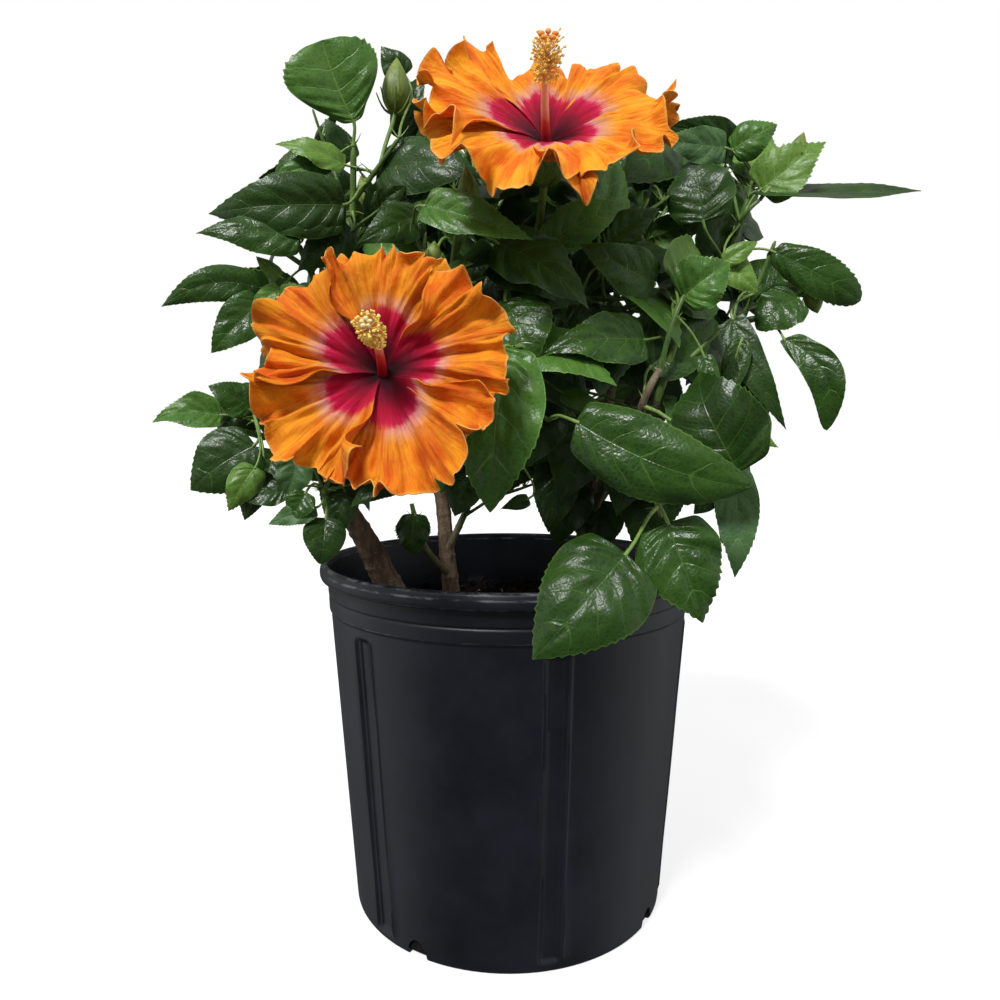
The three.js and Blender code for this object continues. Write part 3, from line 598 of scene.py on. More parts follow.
def drain_cutter():
    """Tubes that point inwards, widened or narrowed along the wall into ovals."""
    angles = np.radians(-90 + DRAIN_TURN + np.arange(DRAINS) * 360 / DRAINS)
    inward = np.linspace(BASE_RADIUS - 7, BASE_RADIUS + 7, DRAIN_RINGS)
    x, y = np.cos(angles)[:, None] * inward, np.sin(angles)[:, None] * inward
    paths = np.stack([x, y, np.ones_like(x)], -1)
    part = tubes(paths, DRAIN_HEIGHT, DRAIN_SIDES)
    middle = np.repeat(paths.mean(1), DRAIN_RINGS * DRAIN_SIDES, axis=0)
    away = part["points"] - middle
    along = np.stack([-np.sin(angles), np.cos(angles), 0 * angles], -1)
    along = np.repeat(along, DRAIN_RINGS * DRAIN_SIDES, axis=0)
    widen = (away * along).sum(1, keepdims=True) * along * (DRAIN_WIDTH / 2 / DRAIN_HEIGHT - 1)
    part["points"] = part["points"] + widen
    return part


POT_CREASE = 50
shell = closed_turning(pot_profile())
pot = mesh_piece("pot_shell", shell, [pot_plastic()], ["pot"], crease=POT_CREASE)
cutter = mesh_piece("drain_cutter", drain_cutter(), [])
cut = pot.modifiers.new("drains", "BOOLEAN")
cut.operation = "DIFFERENCE"
cut.object = cutter
bpy.context.view_layer.objects.active = pot
bpy.ops.object.modifier_apply(modifier="drains")
bpy.data.objects.remove(cutter)
pot.data.set_sharp_from_angle(angle=math.radians(POT_CREASE))
print("pot faces:", len(pot.data.polygons))

# %% [markdown]
# ## The growing mix
#
# The pot is filled to 42 mm under its lip with composted bark and peat, lightened with white grit.
# Its top is a disc of rings whose height is a sum of waves, with crumbs strewn on it. A crumb is
# an icosahedron with its own size, turn and squash, so that many hundreds cost few faces.


# %% Mix surface and crumbs
def bumps(x, y, size, seed, waves=9):
    """A sum of sine waves in seeded directions, whose lengths lie round the given size."""
    random = np.random.default_rng(seed)
    way = random.uniform(0, 2 * np.pi, waves)
    pace = 2 * np.pi / (size * random.uniform(0.6, 1.7, waves))
    phase = random.uniform(0, 2 * np.pi, waves)
    cast = x[..., None] * np.cos(way) + y[..., None] * np.sin(way)
    return np.sin(cast * pace + phase).mean(-1) * 2


def mix_height(x, y):
    """Level, with broad humps of 2 mm and lumps of 1 mm."""
    return MIX_LEVEL - 2.2 + 1.6 * bumps(x, y, 60, 5) + 1.1 * bumps(x, y, 14, 6) + 0.6 * bumps(x, y, 6, 7)


def mix_part():
    """The pot's inner profile a little smaller, with a lumpy top."""
    inset = WALL + GAP
    rim = SHOULDER_RADIUS - inset
    sides = [(wall_radius(z) - inset, z) for z in np.linspace(FLOOR + GAP, MIX_LEVEL - 1, 12)]
    top = [(r, MIX_LEVEL) for r in np.linspace(rim, 5, 44)]
    part = closed_turning(np.array([(5, FLOOR + GAP), *sides, *top]))
    x, y, z = part["points"].T
    lumpy = z > MIX_LEVEL - 1
    part["points"][lumpy, 2] = mix_height(x, y)[lumpy]
    return part


def scattered(places, sizes, seed, look=0):
    """Icosahedra at these places, each turned by a random unit quaternion and squashed a little. The
    corners are (-1, g, 0) and the like, where g is the golden ratio, with the axes swapped round."""
    random = np.random.default_rng(seed)
    golden = (1 + 5 ** 0.5) / 2
    base = np.array([(-1, golden, 0), (1, golden, 0), (-1, -golden, 0), (1, -golden, 0)])
    base = np.concatenate([base, np.roll(base, 1, 1), np.roll(base, 2, 1)]) / 1.9
    faces = np.array([
        (0, 11, 5), (0, 5, 1), (0, 1, 7), (0, 7, 10), (0, 10, 11), (1, 5, 9), (5, 11, 4), (11, 10, 2),
        (10, 7, 6), (7, 1, 8), (3, 9, 4), (3, 4, 2), (3, 2, 6), (3, 6, 8), (3, 8, 9), (4, 9, 5),
        (2, 4, 11), (6, 2, 10), (8, 6, 7), (9, 8, 1),
    ])
    base = base[[0, 1, 2, 3, 8, 9, 10, 11, 4, 5, 6, 7]]
    count = len(places)
    shape = base[None] * (1 + 0.28 * random.uniform(-1, 1, (count, 12, 1)))
    shape = shape * np.array(sizes)[:, None, None] * random.uniform(0.5, 1.25, (count, 1, 3))
    w, x, y, z = unit(random.normal(size=(count, 4))).T
    turn = np.array([
        [1 - 2 * (y * y + z * z), 2 * (x * y - w * z), 2 * (x * z + w * y)],
        [2 * (x * y + w * z), 1 - 2 * (x * x + z * z), 2 * (y * z - w * x)],
        [2 * (x * z - w * y), 2 * (y * z + w * x), 1 - 2 * (x * x + y * y)],
    ]).transpose(2, 0, 1)
    points = np.einsum("nij,nkj->nki", turn, shape) + np.asarray(places)[:, None]
    hull = copies_of(faces, count, 12)
    one, two, three = (points[0][faces[:, k]] for k in range(3))
    if (np.cross(two - one, three - one) * (one - places[0])).sum() < 0:
        hull = hull[:, ::-1]
    return make_part(points, [hull], look=look)


def strewn(count, low, high, seed, look):
    """Crumbs spread evenly over the disc, half sunk in it."""
    random = np.random.default_rng(seed)
    radius = (SHOULDER_RADIUS - 6) * np.sqrt(random.uniform(0, 1, count))
    angle = random.uniform(0, 2 * np.pi, count)
    size = random.uniform(low, high, count)
    x, y = radius * np.cos(angle), radius * np.sin(angle)
    return scattered(np.stack([x, y, mix_height(x, y) + 0.25 * size], -1), size, seed + 1, look)


# %% Mix finish
def crumbly(name, dark, light, scale):
    """Dull, from dark to light by a coarse noise, with a deep bump of a finer one."""
    finish, shader, place, _ = new_finish(name, Specular_IOR_Level=0.2, Roughness=0.95)
    grain = noise(place, scale, 8, 0.7)
    colour = ramp(grain, (0.35, dark), (0.7, light))
    finish_with(shader, colour, None, noise(place, scale * 2.5, 6, 0.7), 0.9, 0.002)
    return finish


# Painted shade: peat and bark chips are coloured darker than their own tone, as the shade inside the pot
# under the crown.
peat = crumbly("peat_in_painted_shade", (0.004, 0.003, 0.0025), (0.014, 0.01, 0.007), 260)
bark_chip = crumbly("bark_chip", (0.009, 0.0055, 0.0035), (0.035, 0.021, 0.013), 320)
grit = crumbly("white_grit", (0.5, 0.49, 0.46), (0.8, 0.79, 0.75), 500)
mesh_piece("mix_body", mix_part(), [peat], ["growing_mix"], crease=80)
crumbs = join([strewn(900, 1.2, 4.2, 21, 0), strewn(520, 1.5, 5.5, 23, 1), strewn(150, 0.9, 2.3, 25, 2)])
mesh_piece("mix_crumbs", crumbs, [peat, bark_chip, grit], crease=20)
print("crumbs:", len(crumbs["points"]) // 12)

# %% [markdown]
# ## Limbs
#
# Stems stand on the mix, boughs grow on stems, and each mass of foliage and each bloom has a shoot
# that grows on a bough. They follow one rule: a limb leaves its parent between the parent's own
# direction and the way to its tip, rising a little. Feet, tips and radii are those of the solids.
# A bloom's row also says how its petals and its column differ from those of the other bloom:
# drops, lengths, rolls and lifts hold one value for each of the five petals.

# %% Limb tables
STEMS = {
    "stem_left": {"foot": (-78, 0), "tip": (-122, -26, 304), "radii": (9.5, 7)},
    "stem_middle": {"foot": (-43, 15), "tip": (-52, 10, 316), "radii": (6, 5)},
    "stem_right": {"foot": (57, 20), "tip": (64, 2, 322), "radii": (8, 6.5)},
}
BOUGHS = {
    "bough_left_low": {"on": "stem_left", "at": 0.96, "tip": (-146, -33, 333), "radii": (4, 3.2)},
    "bough_left_high": {"on": "stem_left", "at": 1, "tip": (-112, -34, 440), "radii": (4.5, 3.4)},
    "bough_left_back": {"on": "stem_left", "at": 0.8, "tip": (-140, 70, 395), "radii": (4.2, 3.3)},
    "bough_middle_front": {"on": "stem_middle", "at": 1, "tip": (-44, -58, 400), "radii": (4, 3.3)},
    "bough_middle_back": {"on": "stem_middle", "at": 0.94, "tip": (-55, 95, 430), "radii": (4, 3.2)},
    "bough_centre": {"on": "stem_right", "at": 1, "tip": (12, -8, 445), "radii": (4.5, 3.4)},
    "bough_right_front": {"on": "stem_right", "at": 0.62, "tip": (88, -78, 350), "radii": (4.5, 3.6)},
    "bough_right": {"on": "stem_right", "at": 0.93, "tip": (135, -25, 430), "radii": (4.6, 3.4)},
    "bough_right_back": {"on": "stem_right", "at": 0.8, "tip": (95, 100, 400), "radii": (4.4, 3.3)},
}
MASS_ROWS = [
    ("leaves_top_left", "bough_left_high", 1, (-104, -48, 540), 4, 1, 11),
    ("leaves_left_high", "bough_left_high", 0.7, (-142, -52, 476), 6, 1, 12),
    ("leaves_left", "bough_left_low", 0.7, (-170, -45, 418), 7, 0, 13),
    ("leaves_left_low", "bough_left_low", 1, (-190, -60, 352), 6, 1, 14),
    ("leaves_left_rim", "stem_left", 0.7, (-125, -68, 312), 2, 0, 15),
    ("leaves_left_back", "bough_left_back", 1, (-175, 65, 440), 8, 2, 16),
    ("leaves_left_back_high", "bough_left_back", 0.75, (-115, 75, 515), 8, 2, 17),
    ("leaves_left_back_low", "bough_left_back", 0.45, (-110, 140, 360), 8, 2, 18),
    ("leaves_middle_top", "bough_middle_front", 1, (-32, -108, 470), 5, 1, 19),
    ("leaves_middle", "bough_middle_front", 0.62, (8, -130, 400), 6, 0, 20),
    ("leaves_crown", "bough_centre", 1, (-35, -18, 540), 6, 2, 21),
    ("leaves_centre", "bough_centre", 0.66, (72, -92, 452), 7, 2, 22),
    ("leaves_core", "bough_centre", 0.4, (5, -62, 372), 6, 1, 33),
    ("leaves_glossy", "bough_right_front", 1, (104, -100, 410), 5, 1, 23),
    ("leaves_rim", "bough_right_front", 0.7, (78, -130, 318), 2, 0, 24),
    ("leaves_right_top", "bough_right", 1, (168, -38, 522), 6, 1, 25),
    ("leaves_right", "bough_right", 0.75, (186, -45, 430), 6, 1, 26),
    ("leaves_right_low", "bough_right", 0.45, (150, -60, 350), 6, 1, 27),
    ("leaves_right_back", "bough_right_back", 1, (178, 85, 440), 8, 2, 28),
    ("leaves_right_back_high", "bough_right_back", 0.8, (90, 85, 530), 8, 2, 29),
    ("leaves_back_low", "bough_right_back", 0.5, (60, 165, 370), 8, 2, 30),
    ("leaves_back", "bough_middle_back", 1, (-30, 165, 450), 8, 2, 31),
    ("leaves_back_high", "bough_middle_back", 0.8, (-15, 75, 545), 8, 2, 32),
]
MASS_KEYS = ("on", "at", "tip", "leaves", "twigs", "seed")
MASSES = {name: dict(zip(MASS_KEYS, row)) for name, *row in MASS_ROWS}
BLOOMS = {
    "bloom_front": {
        "on": "bough_middle_front", "at": 0.35, "throat": (-73, -152, 385), "looks": (-0.05, -1, 0.24),
        "radius": 74, "curl": 12, "column": 54, "turn": 76, "seed": 41, "sway": (3, 8), "arms": 2.4,
        "anthers": 340, "bare": 0.56, "spread": 1.0, "pads": 0.9,
        "drops": (0, 0, 0, 0, 0), "overlap": 4.4, "notch": 0.22,
        "lengths": (0.91, 0.95, 0.98, 1.08, 1.0), "rolls": (-0.2, -0.5, 0.5, 1.1, 0.2),
        "lifts": (2.2, 1.7, 2.3, 1.8, 2.2), "ruffle": 1.3, "lobes": 1.2, "crumple": 1.7,
    },
    "bloom_top": {
        "on": "bough_centre", "at": 0.85, "throat": (22, -112, 527), "looks": (0.02, -0.73, 0.68),
        "radius": 79, "curl": 8, "column": 54, "turn": 98, "seed": 42, "sway": (-3, 1), "arms": 5,
        "anthers": 210, "bare": 0.66, "spread": 1.25, "pads": 1.5,
        "drops": (15, 0, 4, 4, 5), "overlap": 1.0, "notch": 0.08,
        "lengths": (0.84, 0.96, 0.98, 0.93, 0.92), "rolls": (-0.9, 0.6, -0.3, 0.6, -1.1),
        "lifts": (0.5, 0.7, 0.3, 1.2, 0.4), "ruffle": 1.15, "lobes": 1.7, "crumple": 1.2,
    },
}
SHOOT_RADII = (3, 1.9)
STALK_RADII = (2.8, 2.4)
TWIG_RADII = (1.9, 1.3)
LEAVING = {"parent": 0.55, "tip": 0.75, "up": 0.12, "bend": 0.42}
ROOT_FLARE = 4


# %% Curves
class Curve:
    """A Bezier curve read by shares of its length: the sum of each control point times its Bernstein
    weight, with shares found by summing short steps."""

    def __init__(self, *controls):
        self.controls = np.array(controls, float)
        t = np.linspace(0, 1, 201)
        points = self._weights(t) @ self.controls
        run = np.concatenate([[0], np.cumsum(np.linalg.norm(np.diff(points, axis=0), axis=1))])
        self.length = run[-1]
        self._shares, self._t = run / run[-1], t

    def _weights(self, t):
        """Binomial count times t^k (1 - t)^(degree - k) for each control point k."""
        degree = len(self.controls) - 1
        k = np.arange(degree + 1)
        count = np.array([math.comb(degree, int(i)) for i in k])
        return count * t[:, None] ** k * (1 - t[:, None]) ** (degree - k)

    def at(self, share):
        """Points at these shares of the length."""
        t = np.interp(np.atleast_1d(share), self._shares, self._t)
        points = self._weights(t) @ self.controls
        return points if np.ndim(share) else points[0]

    def heading(self, share):
        """The direction at one share of the length."""
        ends = np.clip([share - 1e-3, share + 1e-3], 0, 1)
        return unit(np.diff(self.at(ends), axis=0)[0])


def growth_curve(root, heading, tip):
    """A curve that leaves root along a sum of three shares: heading, the way to the tip, and up."""
    reach = tip - root
    leaving = unit(LEAVING["parent"] * heading + LEAVING["tip"] * unit(reach) + LEAVING["up"] * UP)
    return Curve(root, root + leaving * LEAVING["bend"] * np.linalg.norm(reach), tip)


def stalk_curve(root, heading, foot, looks):
    """A bloom's stalk ends along the way that the bloom looks."""
    gap = np.linalg.norm(foot - root)
    leaving = growth_curve(root, heading, foot).heading(0)
    return Curve(root, root + 0.4 * gap * leaving, foot - 0.35 * gap * looks, foot)


# %% Grow the limbs
curves, radii_of = {}, {}
for name, spec in STEMS.items():
    foot = np.array([*spec["foot"], MIX_LEVEL - 8])
    tip = np.array(spec["tip"], float)
    curves[name] = Curve(foot, (foot + tip) / 2 + 8 * UP, tip)
    radii_of[name] = spec["radii"]
for name, spec in {**BOUGHS, **MASSES}.items():
    parent, at = curves[spec["on"]], spec["at"]
    curves[name] = growth_curve(parent.at(at), parent.heading(at), np.array(spec["tip"], float))
    radii_of[name] = spec.get("radii", SHOOT_RADII)
for name, spec in BLOOMS.items():
    parent = curves[spec["on"]]
    looks = unit(np.array(spec["looks"]))
    foot = np.array(spec["throat"]) - 32 * looks
    curves[name] = stalk_curve(parent.at(spec["at"]), parent.heading(spec["at"]), foot, looks)
    radii_of[name] = STALK_RADII
print("limbs:", len(curves), "longest bough:", round(max(curves[name].length for name in BOUGHS)))

# %% [markdown]
# ## Bark
#
# Old hibiscus wood is smooth and grey-brown, with low rings where leaves once stood, shallow furrows
# along it and pale pores. The rings, furrows and swollen feet are shape, pressed into a fine tube; the
# pores and the grain are the finish. Boughs turn from brown to green towards their tips.


# %% Bark surface
BARK_GIRTH = 1.12
NODE_SPACING = 17.0


def bark_limb(name, sides=30, step=1.6):
    """A tube whose radius is tapered, flared at a stem's foot as exp(-9 share) or swollen at a
    bough's as exp(-(run/7)^2), ringed at every node, and furrowed along it by sines of the angle
    that drift as they climb."""
    curve = curves[name]
    thick, thin = radii_of[name]
    thick *= BARK_GIRTH
    share = np.linspace(0, 1, int(curve.length / step))
    run = share * curve.length
    radius = thick + (thin - thick) * share
    if name in STEMS:
        radius = radius + ROOT_FLARE * np.exp(-9 * share)
    else:
        radius = radius * (1 + 0.35 * np.exp(-(run / 7) ** 2))
    random = np.random.default_rng(sum(map(ord, name)))
    nodes = np.arange(14, curve.length, NODE_SPACING)
    nodes = nodes + random.uniform(-4, 4, len(nodes))
    rings = sum(0.1 * np.exp(-((run - node) / 1.5) ** 2) for node in nodes) if len(nodes) else 0 * run
    angle = 2 * np.pi * np.arange(sides) / sides
    lean = random.uniform(0, 2 * np.pi, 4)
    furrow = (0.028 * np.sin(5 * angle + lean[0] + run[:, None] * 0.05)
              + 0.022 * np.sin(9 * angle + lean[1] - run[:, None] * 0.09)
              + 0.03 * np.sin(2 * angle + lean[2] + run[:, None] * 0.035)
              + 0.016 * np.sin(run[:, None] * 0.9 + 3 * np.sin(angle + lean[3])))
    path = curve.at(share)
    wobble = 0.35 * np.stack([np.sin(run * 0.11 + lean[0]), np.sin(run * 0.13 + lean[1]), 0 * run], -1)
    return tubes((path + wobble)[None], radius, sides, relief=(furrow + rings[:, None])[None])


# %% Bark finish
def bark_finish(name, dark, light, green=None):
    """Grain stretched along the limb, patches of green where it is young, and pale pores."""
    finish, shader, place, _ = new_finish(name, Roughness=0.82, Specular_IOR_Level=0.28)
    along = noise(place, (210, 210, 55), 8, 0.68)
    patches = noise(place, 42, 5, 0.6)
    pores = add_node("ShaderNodeTexVoronoi", Vector=stretched(place, (330, 330, 520)), Scale=1.0)
    spots = ramp(pores.outputs[0], (0.13, (1, 1, 1)), (0.22, (0, 0, 0)))
    colour = ramp(along, (0.3, dark), (0.68, light))
    if green:
        colour = blend_colours(mask(patches, 0.42, 0.62, 0.75), colour, green)
    colour = blend_colours(times(spots, 0.5), colour, [0.4 + 0.6 * v for v in light])
    height = plus(along, times(spots, 0.6))
    finish_with(shader, colour, None, height, 0.8, 0.0007)
    return finish


# Painted shade in part: the old bark is its own grey-brown, set darker so that the stems look shaded under
# the crown.
old_bark = bark_finish("old_bark", (0.055, 0.034, 0.022), (0.28, 0.19, 0.12))
young_bark = bark_finish("young_bark", (0.075, 0.055, 0.03), (0.23, 0.185, 0.115), (0.1, 0.13, 0.045))
for name in STEMS:
    mesh_piece("bark_" + name, bark_limb(name), [old_bark], [name], crease=70)
for name in BOUGHS:
    mesh_piece("bark_" + name, bark_limb(name, 20), [young_bark], [name], crease=70)
print("bark triangles:", triangles_of("bark"))

# %% [markdown]
# ## One leaf, many leaves
#
# A hibiscus leaf is ovate, drawn out to a point, toothed towards its tip and puckered between its
# veins. Its grid runs along the side veins: rows start crowded at the leaf's foot and fan out to the
# margin, as the veins do, so teeth, puckers and veins all follow the rows. All leaves of a mass are
# computed at once, each with its own fold, droop, twist, wave and teeth.

# %% Leaf sizes
OLD_LEAF = 88
YOUNG_LEAF = 48
WIDTH_TO_LENGTH = 0.68
BLADE_ARCH = 0.07
BLADE_THICKNESS = 0.45
SIDE_VEINS = 6
# Numbers of the finishes of the under sides
UNDER_OLD = 4
UNDER_YOUNG = 5


# %% Leaf surface
def own_or_drawn(leaves, key, random, low, high):
    """A value for each leaf: its own where its form gives one, and a seeded draw elsewhere."""
    drawn = random.uniform(low, high, len(leaves))
    return np.array([leaf["form"].get(key, value) for leaf, value in zip(leaves, drawn)])[:, None, None]


def rows_of(leaves, *keys):
    """For each key, an array with one row for each leaf."""
    return [np.array([leaf[key] for leaf in leaves], float) for key in keys]


def leaf_blades(leaves, rows, cols, seed):
    """Blades as one part. In each blade's own frame x = t h(m), with the outline
    h = c width (1 - m)^point m^belly at the margin's m = s^1.1; y runs from s^2.2 at the midrib to m
    at the margin; and z sums the fold along the midrib, the arch, rolled edges, a drooping tip,
    margin waves, puckers between the veins and blisters."""
    random = np.random.default_rng(seed)
    count = len(leaves)

    def some(low, high):
        return random.uniform(low, high, (count, 1, 1))

    def form(key, low, high):
        return own_or_drawn(leaves, key, random, low, high)

    base, tip, looks = rows_of(leaves, "base", "tip", "looks")
    width, tooth = (row[:, None, None] for row in rows_of(leaves, "width", "teeth"))
    chord = tip - base
    length = np.linalg.norm(chord, axis=1)[:, None, None]
    along = unit(chord)
    across = unit(np.cross(along, looks))
    normal = np.cross(across, along)
    s = np.linspace(0, 1, rows)[None, :, None]
    t = np.linspace(-1, 1, cols)[None, None, :]
    reach = np.abs(t)
    margin = np.clip(s ** 1.1, 1e-4, 1)
    point = form("point", 0.95, 1.25)
    belly = form("belly", 0.4, 0.5)
    widest = belly / (belly + point)
    outline = 0.5 * (1 - margin) ** point * margin ** belly / ((1 - widest) ** point * widest ** belly)
    outline = np.maximum(outline, 0.008)
    share = s ** 2.2 + (margin - s ** 2.2) * reach ** 1.35
    step = np.arange(rows) % 3
    saw = np.array([0.0, 0.45, 1.0])[step][None, :, None]
    start = form("teeth_from", 0.15, 0.5)
    bite = 0.4 + 0.6 * random.uniform(0, 1, (count, rows, 1))
    bite = bite * smooth(start, start + 0.25, s) * (1 - smooth(0.93, 1, s))
    teeth = saw * bite * tooth * reach ** 9
    flat = t * width * outline + np.sign(t) * teeth * width * 0.9
    heart = 0.05 * reach ** 2 * np.exp(-((s - 0.1) / 0.07) ** 2)
    y = length * (share + 0.9 * teeth * width / length) - length * heart
    fold = np.radians(form("fold", 4, 24))
    soft = 0.05 * width
    x = flat * np.cos(fold)
    z = np.sin(fold) * (np.sqrt(flat ** 2 + soft ** 2) - soft)
    z = z + form("arch", 0.02, 0.1) * length * 4 * share * (1 - share)
    z = z - form("curl", 0.05, 0.5) * width * outline * reach ** 3
    z = z - form("droop", 0.1, 0.6) * length * np.maximum(share - 0.5, 0) ** 2
    height = form("wave", 0.015, 0.06)
    wave = height * np.sin(2 * np.pi * (some(1.4, 2.8) * s + some(0, 1) + 0.37 * np.sign(t)))
    z = z + wave * width * reach ** 2 * smooth(0.0, 0.35, s) * (1 - s ** 6)
    pucker = np.sin(np.pi * (SIDE_VEINS * s + 0.12 * np.sin(5 * t))) ** 2
    pucker = pucker * np.sin(np.pi * np.minimum(reach * 1.08, 1)) ** 0.8
    z = z + form("pucker", 0.6, 1.3) * pucker * (width / 60) * (1 - s ** 5)
    blister = np.sin(17 * s + some(0, 6)) * np.sin(9 * t + some(0, 6))
    blister = blister + np.sin(29 * s + some(0, 6)) * np.sin(14 * t + some(0, 6))
    z = z + form("blister", 0.1, 0.35) * blister * (width / 60) * np.sin(np.pi * np.clip(s, 0, 1))
    x = x + form("bend", -0.06, 0.06) * length * 4 * share * (1 - share)
    twist = form("twist", -0.35, 0.35) * share
    x, z = x * np.cos(twist) - z * np.sin(twist), x * np.sin(twist) + z * np.cos(twist)
    place = (base[:, None, None] + x[..., None] * across[:, None, None]
             + y[..., None] * along[:, None, None] + z[..., None] * normal[:, None, None])
    uv = np.stack(np.broadcast_arrays((t[0] + 1) / 2, s[0]), -1)
    tops = np.array([leaf["look"] for leaf in leaves])
    return shells(place, BLADE_THICKNESS, uv, tops, np.where(tops < 2, UNDER_OLD, UNDER_YOUNG))


# %% [markdown]
# The finish of a leaf has to carry what the grid cannot: veins as fine pale lines, a net of small
# wrinkles between them that breaks up the gloss, and a thin pale margin. Veins and margin are
# worked out from the leaf's own u and v, and the wrinkles from Object coordinates. Four greens are
# dealt out by the leaf's age, and two paler, duller ones belong to the under sides.


# %% Leaf finishes
def leaf_finish(name, dark, light, vein, shine, relief):
    """A side vein is where SIDE_VEINS v, bent by a little noise, is near a whole number. It is widest
    at the midrib, which is where u is half. Shine is the roughness, and relief the bump's strength."""
    finish, shader, place, surface = new_finish(name, Specular_IOR_Level=0.36)
    across, up, _ = axes_of(surface)
    off = calc("ABSOLUTE", minus(times(across, 2), 1))
    wander = times(minus(noise(place, 60, 2), 0.5), 0.4)
    phase = plus(times(up, SIDE_VEINS), wander)
    from_vein = calc("PINGPONG", phase, 0.5)
    vein_width = times(minus(1.1, off), 0.058)
    side_vein = larger(minus(1, calc("DIVIDE", from_vein, vein_width)), 0)
    midrib = larger(minus(1, times(off, 34)), 0)
    veins = larger(side_vein, midrib)
    edge = times(larger(minus(off, 0.965), 0), 28)
    cells = add_node("ShaderNodeTexVoronoi", Vector=place, Scale=330.0, feature="DISTANCE_TO_EDGE")
    net = calc("MINIMUM", times(cells.outputs[0], 3.2), 1)
    wrinkle = noise(place, 210, 2, 0.5)
    leather = noise(place, 1100, 2, 0.5)
    mottle = noise(place, 30, 5, 0.6)
    colour = ramp(plus(times(mottle, 0.7), times(wrinkle, 0.3)), (0.34, dark), (0.66, light))
    colour = blend_colours(times(veins, 0.65), colour, vein)
    colour = blend_colours(times(minus(1, net), 0.16), colour, vein)
    colour = blend_colours(times(edge, 0.7), colour, [min(1, 1.25 * v) for v in vein])
    roughness = plus(shine, times(mottle, 0.2))
    height = plus(times(net, 0.2), plus(times(wrinkle, 0.5), times(leather, 0.12)))
    height = minus(height, times(veins, 0.5))
    finish_with(shader, colour, roughness, height, relief, 0.0011)
    return finish


# Name, dark and light green, vein colour, roughness and relief
LEAF_FINISHES = (
    ("leaf_dark", (0.007, 0.025, 0.003), (0.022, 0.064, 0.007), (0.055, 0.12, 0.018), 0.25, 0.42),
    ("leaf_green", (0.009, 0.032, 0.004), (0.03, 0.086, 0.009), (0.08, 0.165, 0.026), 0.22, 0.5),
    ("leaf_bright", (0.026, 0.092, 0.009), (0.07, 0.18, 0.02), (0.16, 0.29, 0.065), 0.27, 0.42),
    ("leaf_young", (0.058, 0.14, 0.014), (0.125, 0.25, 0.032), (0.23, 0.36, 0.09), 0.3, 0.3),
    ("leaf_under_old", (0.03, 0.085, 0.024), (0.07, 0.16, 0.045), (0.14, 0.25, 0.085), 0.42, 0.4),
    ("leaf_under_young", (0.075, 0.165, 0.035), (0.15, 0.28, 0.065), (0.24, 0.38, 0.12), 0.42, 0.35),
)
leaf_finishes = [leaf_finish(*row) for row in LEAF_FINISHES]


def soft_green(name, dark, light, rough=0.4, scale=150):
    """Shoots, petioles and buds: a green that varies along them, faintly streaked."""
    finish, shader, place, _ = new_finish(name, Roughness=rough, Specular_IOR_Level=0.45)
    streak = noise(place, (scale * 3, scale * 3, scale * 0.6), 5, 0.6)
    patch = noise(place, 38, 4)
    colour = ramp(times(plus(streak, patch), 0.5), (0.35, dark), (0.65, light))
    finish_with(shader, colour, None, streak, 0.45, 0.0004)
    return finish


shoot_green = soft_green("shoot_green", (0.05, 0.11, 0.02), (0.16, 0.26, 0.06))
petiole_green = soft_green("petiole_green", (0.1, 0.19, 0.035), (0.24, 0.36, 0.09))
bud_green = soft_green("bud_green", (0.045, 0.09, 0.01), (0.27, 0.34, 0.06), 0.5, 260)
print("leaf finishes:", len(leaf_finishes))

# %% [markdown]
# ## The rule that sets twigs and leaves
#
# The solids were grown by a seeded rule, and the same rule runs here: twigs leave a shoot at the
# golden angle, old leaves at a twig's foot are large and droop, young ones stand up, and a leaf
# that would touch another one turns aside or is left out. Then finer twigs follow, with smaller leaves,
# where there is still room inside the same reach.

# %% Rule sizes
GOLDEN_ANGLE = 137.5
TWIG_LEAVES = 3
TWIG_ANGLE = 48
TWIG_SPAN = 0.45
TWIG_SPAN_SPREAD = 0.25
LEAF_ANGLE = 38
OLD_LEAF_ANGLE = 34
PETIOLE_TO_BLADE = 0.34
SHOW_PETIOLE = 22
DODGES = (0, 38, -38, 76, -76, 120)
# Ages past which a leaf takes the next darker of the four greens
LOOK_AGES = (0.2, 0.42, 0.72)
CROWN_MIDDLE = np.array([14, 5, 425])
CROWN_REACH = (230, 226, 186)
CROWN_DROP = 190
CROWN_POWER = 2.6
CORE = np.array([10, 40, 0])
LIGHT = np.array([0.05, -0.7, 0])
BLOOM_MARGIN = 8


# %% Draws and directions
def seeded_draws(seed):
    """The same repeatable numbers as the solids' rule: a 32-bit counter, mixed by multiplications."""
    state = seed * 7919
    whole = 0xFFFFFFFF

    def draw():
        nonlocal state
        state = (state + 0x6D2B79F5) & whole
        mixed = ((state ^ (state >> 15)) * (1 | state)) & whole
        mixed = ((mixed + (((mixed ^ (mixed >> 7)) * (61 | mixed)) & whole)) & whole) ^ mixed
        return (mixed ^ (mixed >> 14)) / 4294967296

    return draw


def turned_from(axis, angle, azimuth):
    """The direction at an angle from an axis, turned round it by an azimuth."""
    side = unit(np.cross(SIDEWAYS, axis))
    turn = math.radians(azimuth)
    side = side * math.cos(turn) + np.cross(axis, side) * math.sin(turn)
    return axis * math.cos(math.radians(angle)) + side * math.sin(math.radians(angle))


def in_crown(point):
    """True where the sum of (away / reach)^power over the three axes is under 1."""
    away = point - CROWN_MIDDLE
    height = CROWN_REACH[2] if away[2] > 0 else CROWN_DROP
    return (np.abs(away / (CROWN_REACH[0], CROWN_REACH[1], height)) ** CROWN_POWER).sum() < 1


def hides_bloom(point):
    """True in front of an open bloom, where no leaf grows."""
    for spec in BLOOMS.values():
        away = point - np.array(spec["throat"])
        ahead = away @ unit(np.array(spec["looks"]))
        if ahead > -5 and math.sqrt(max(away @ away - ahead * ahead, 0)) < spec["radius"] + BLOOM_MARGIN:
            return True
    return False


# %% Room for a leaf
placed = []


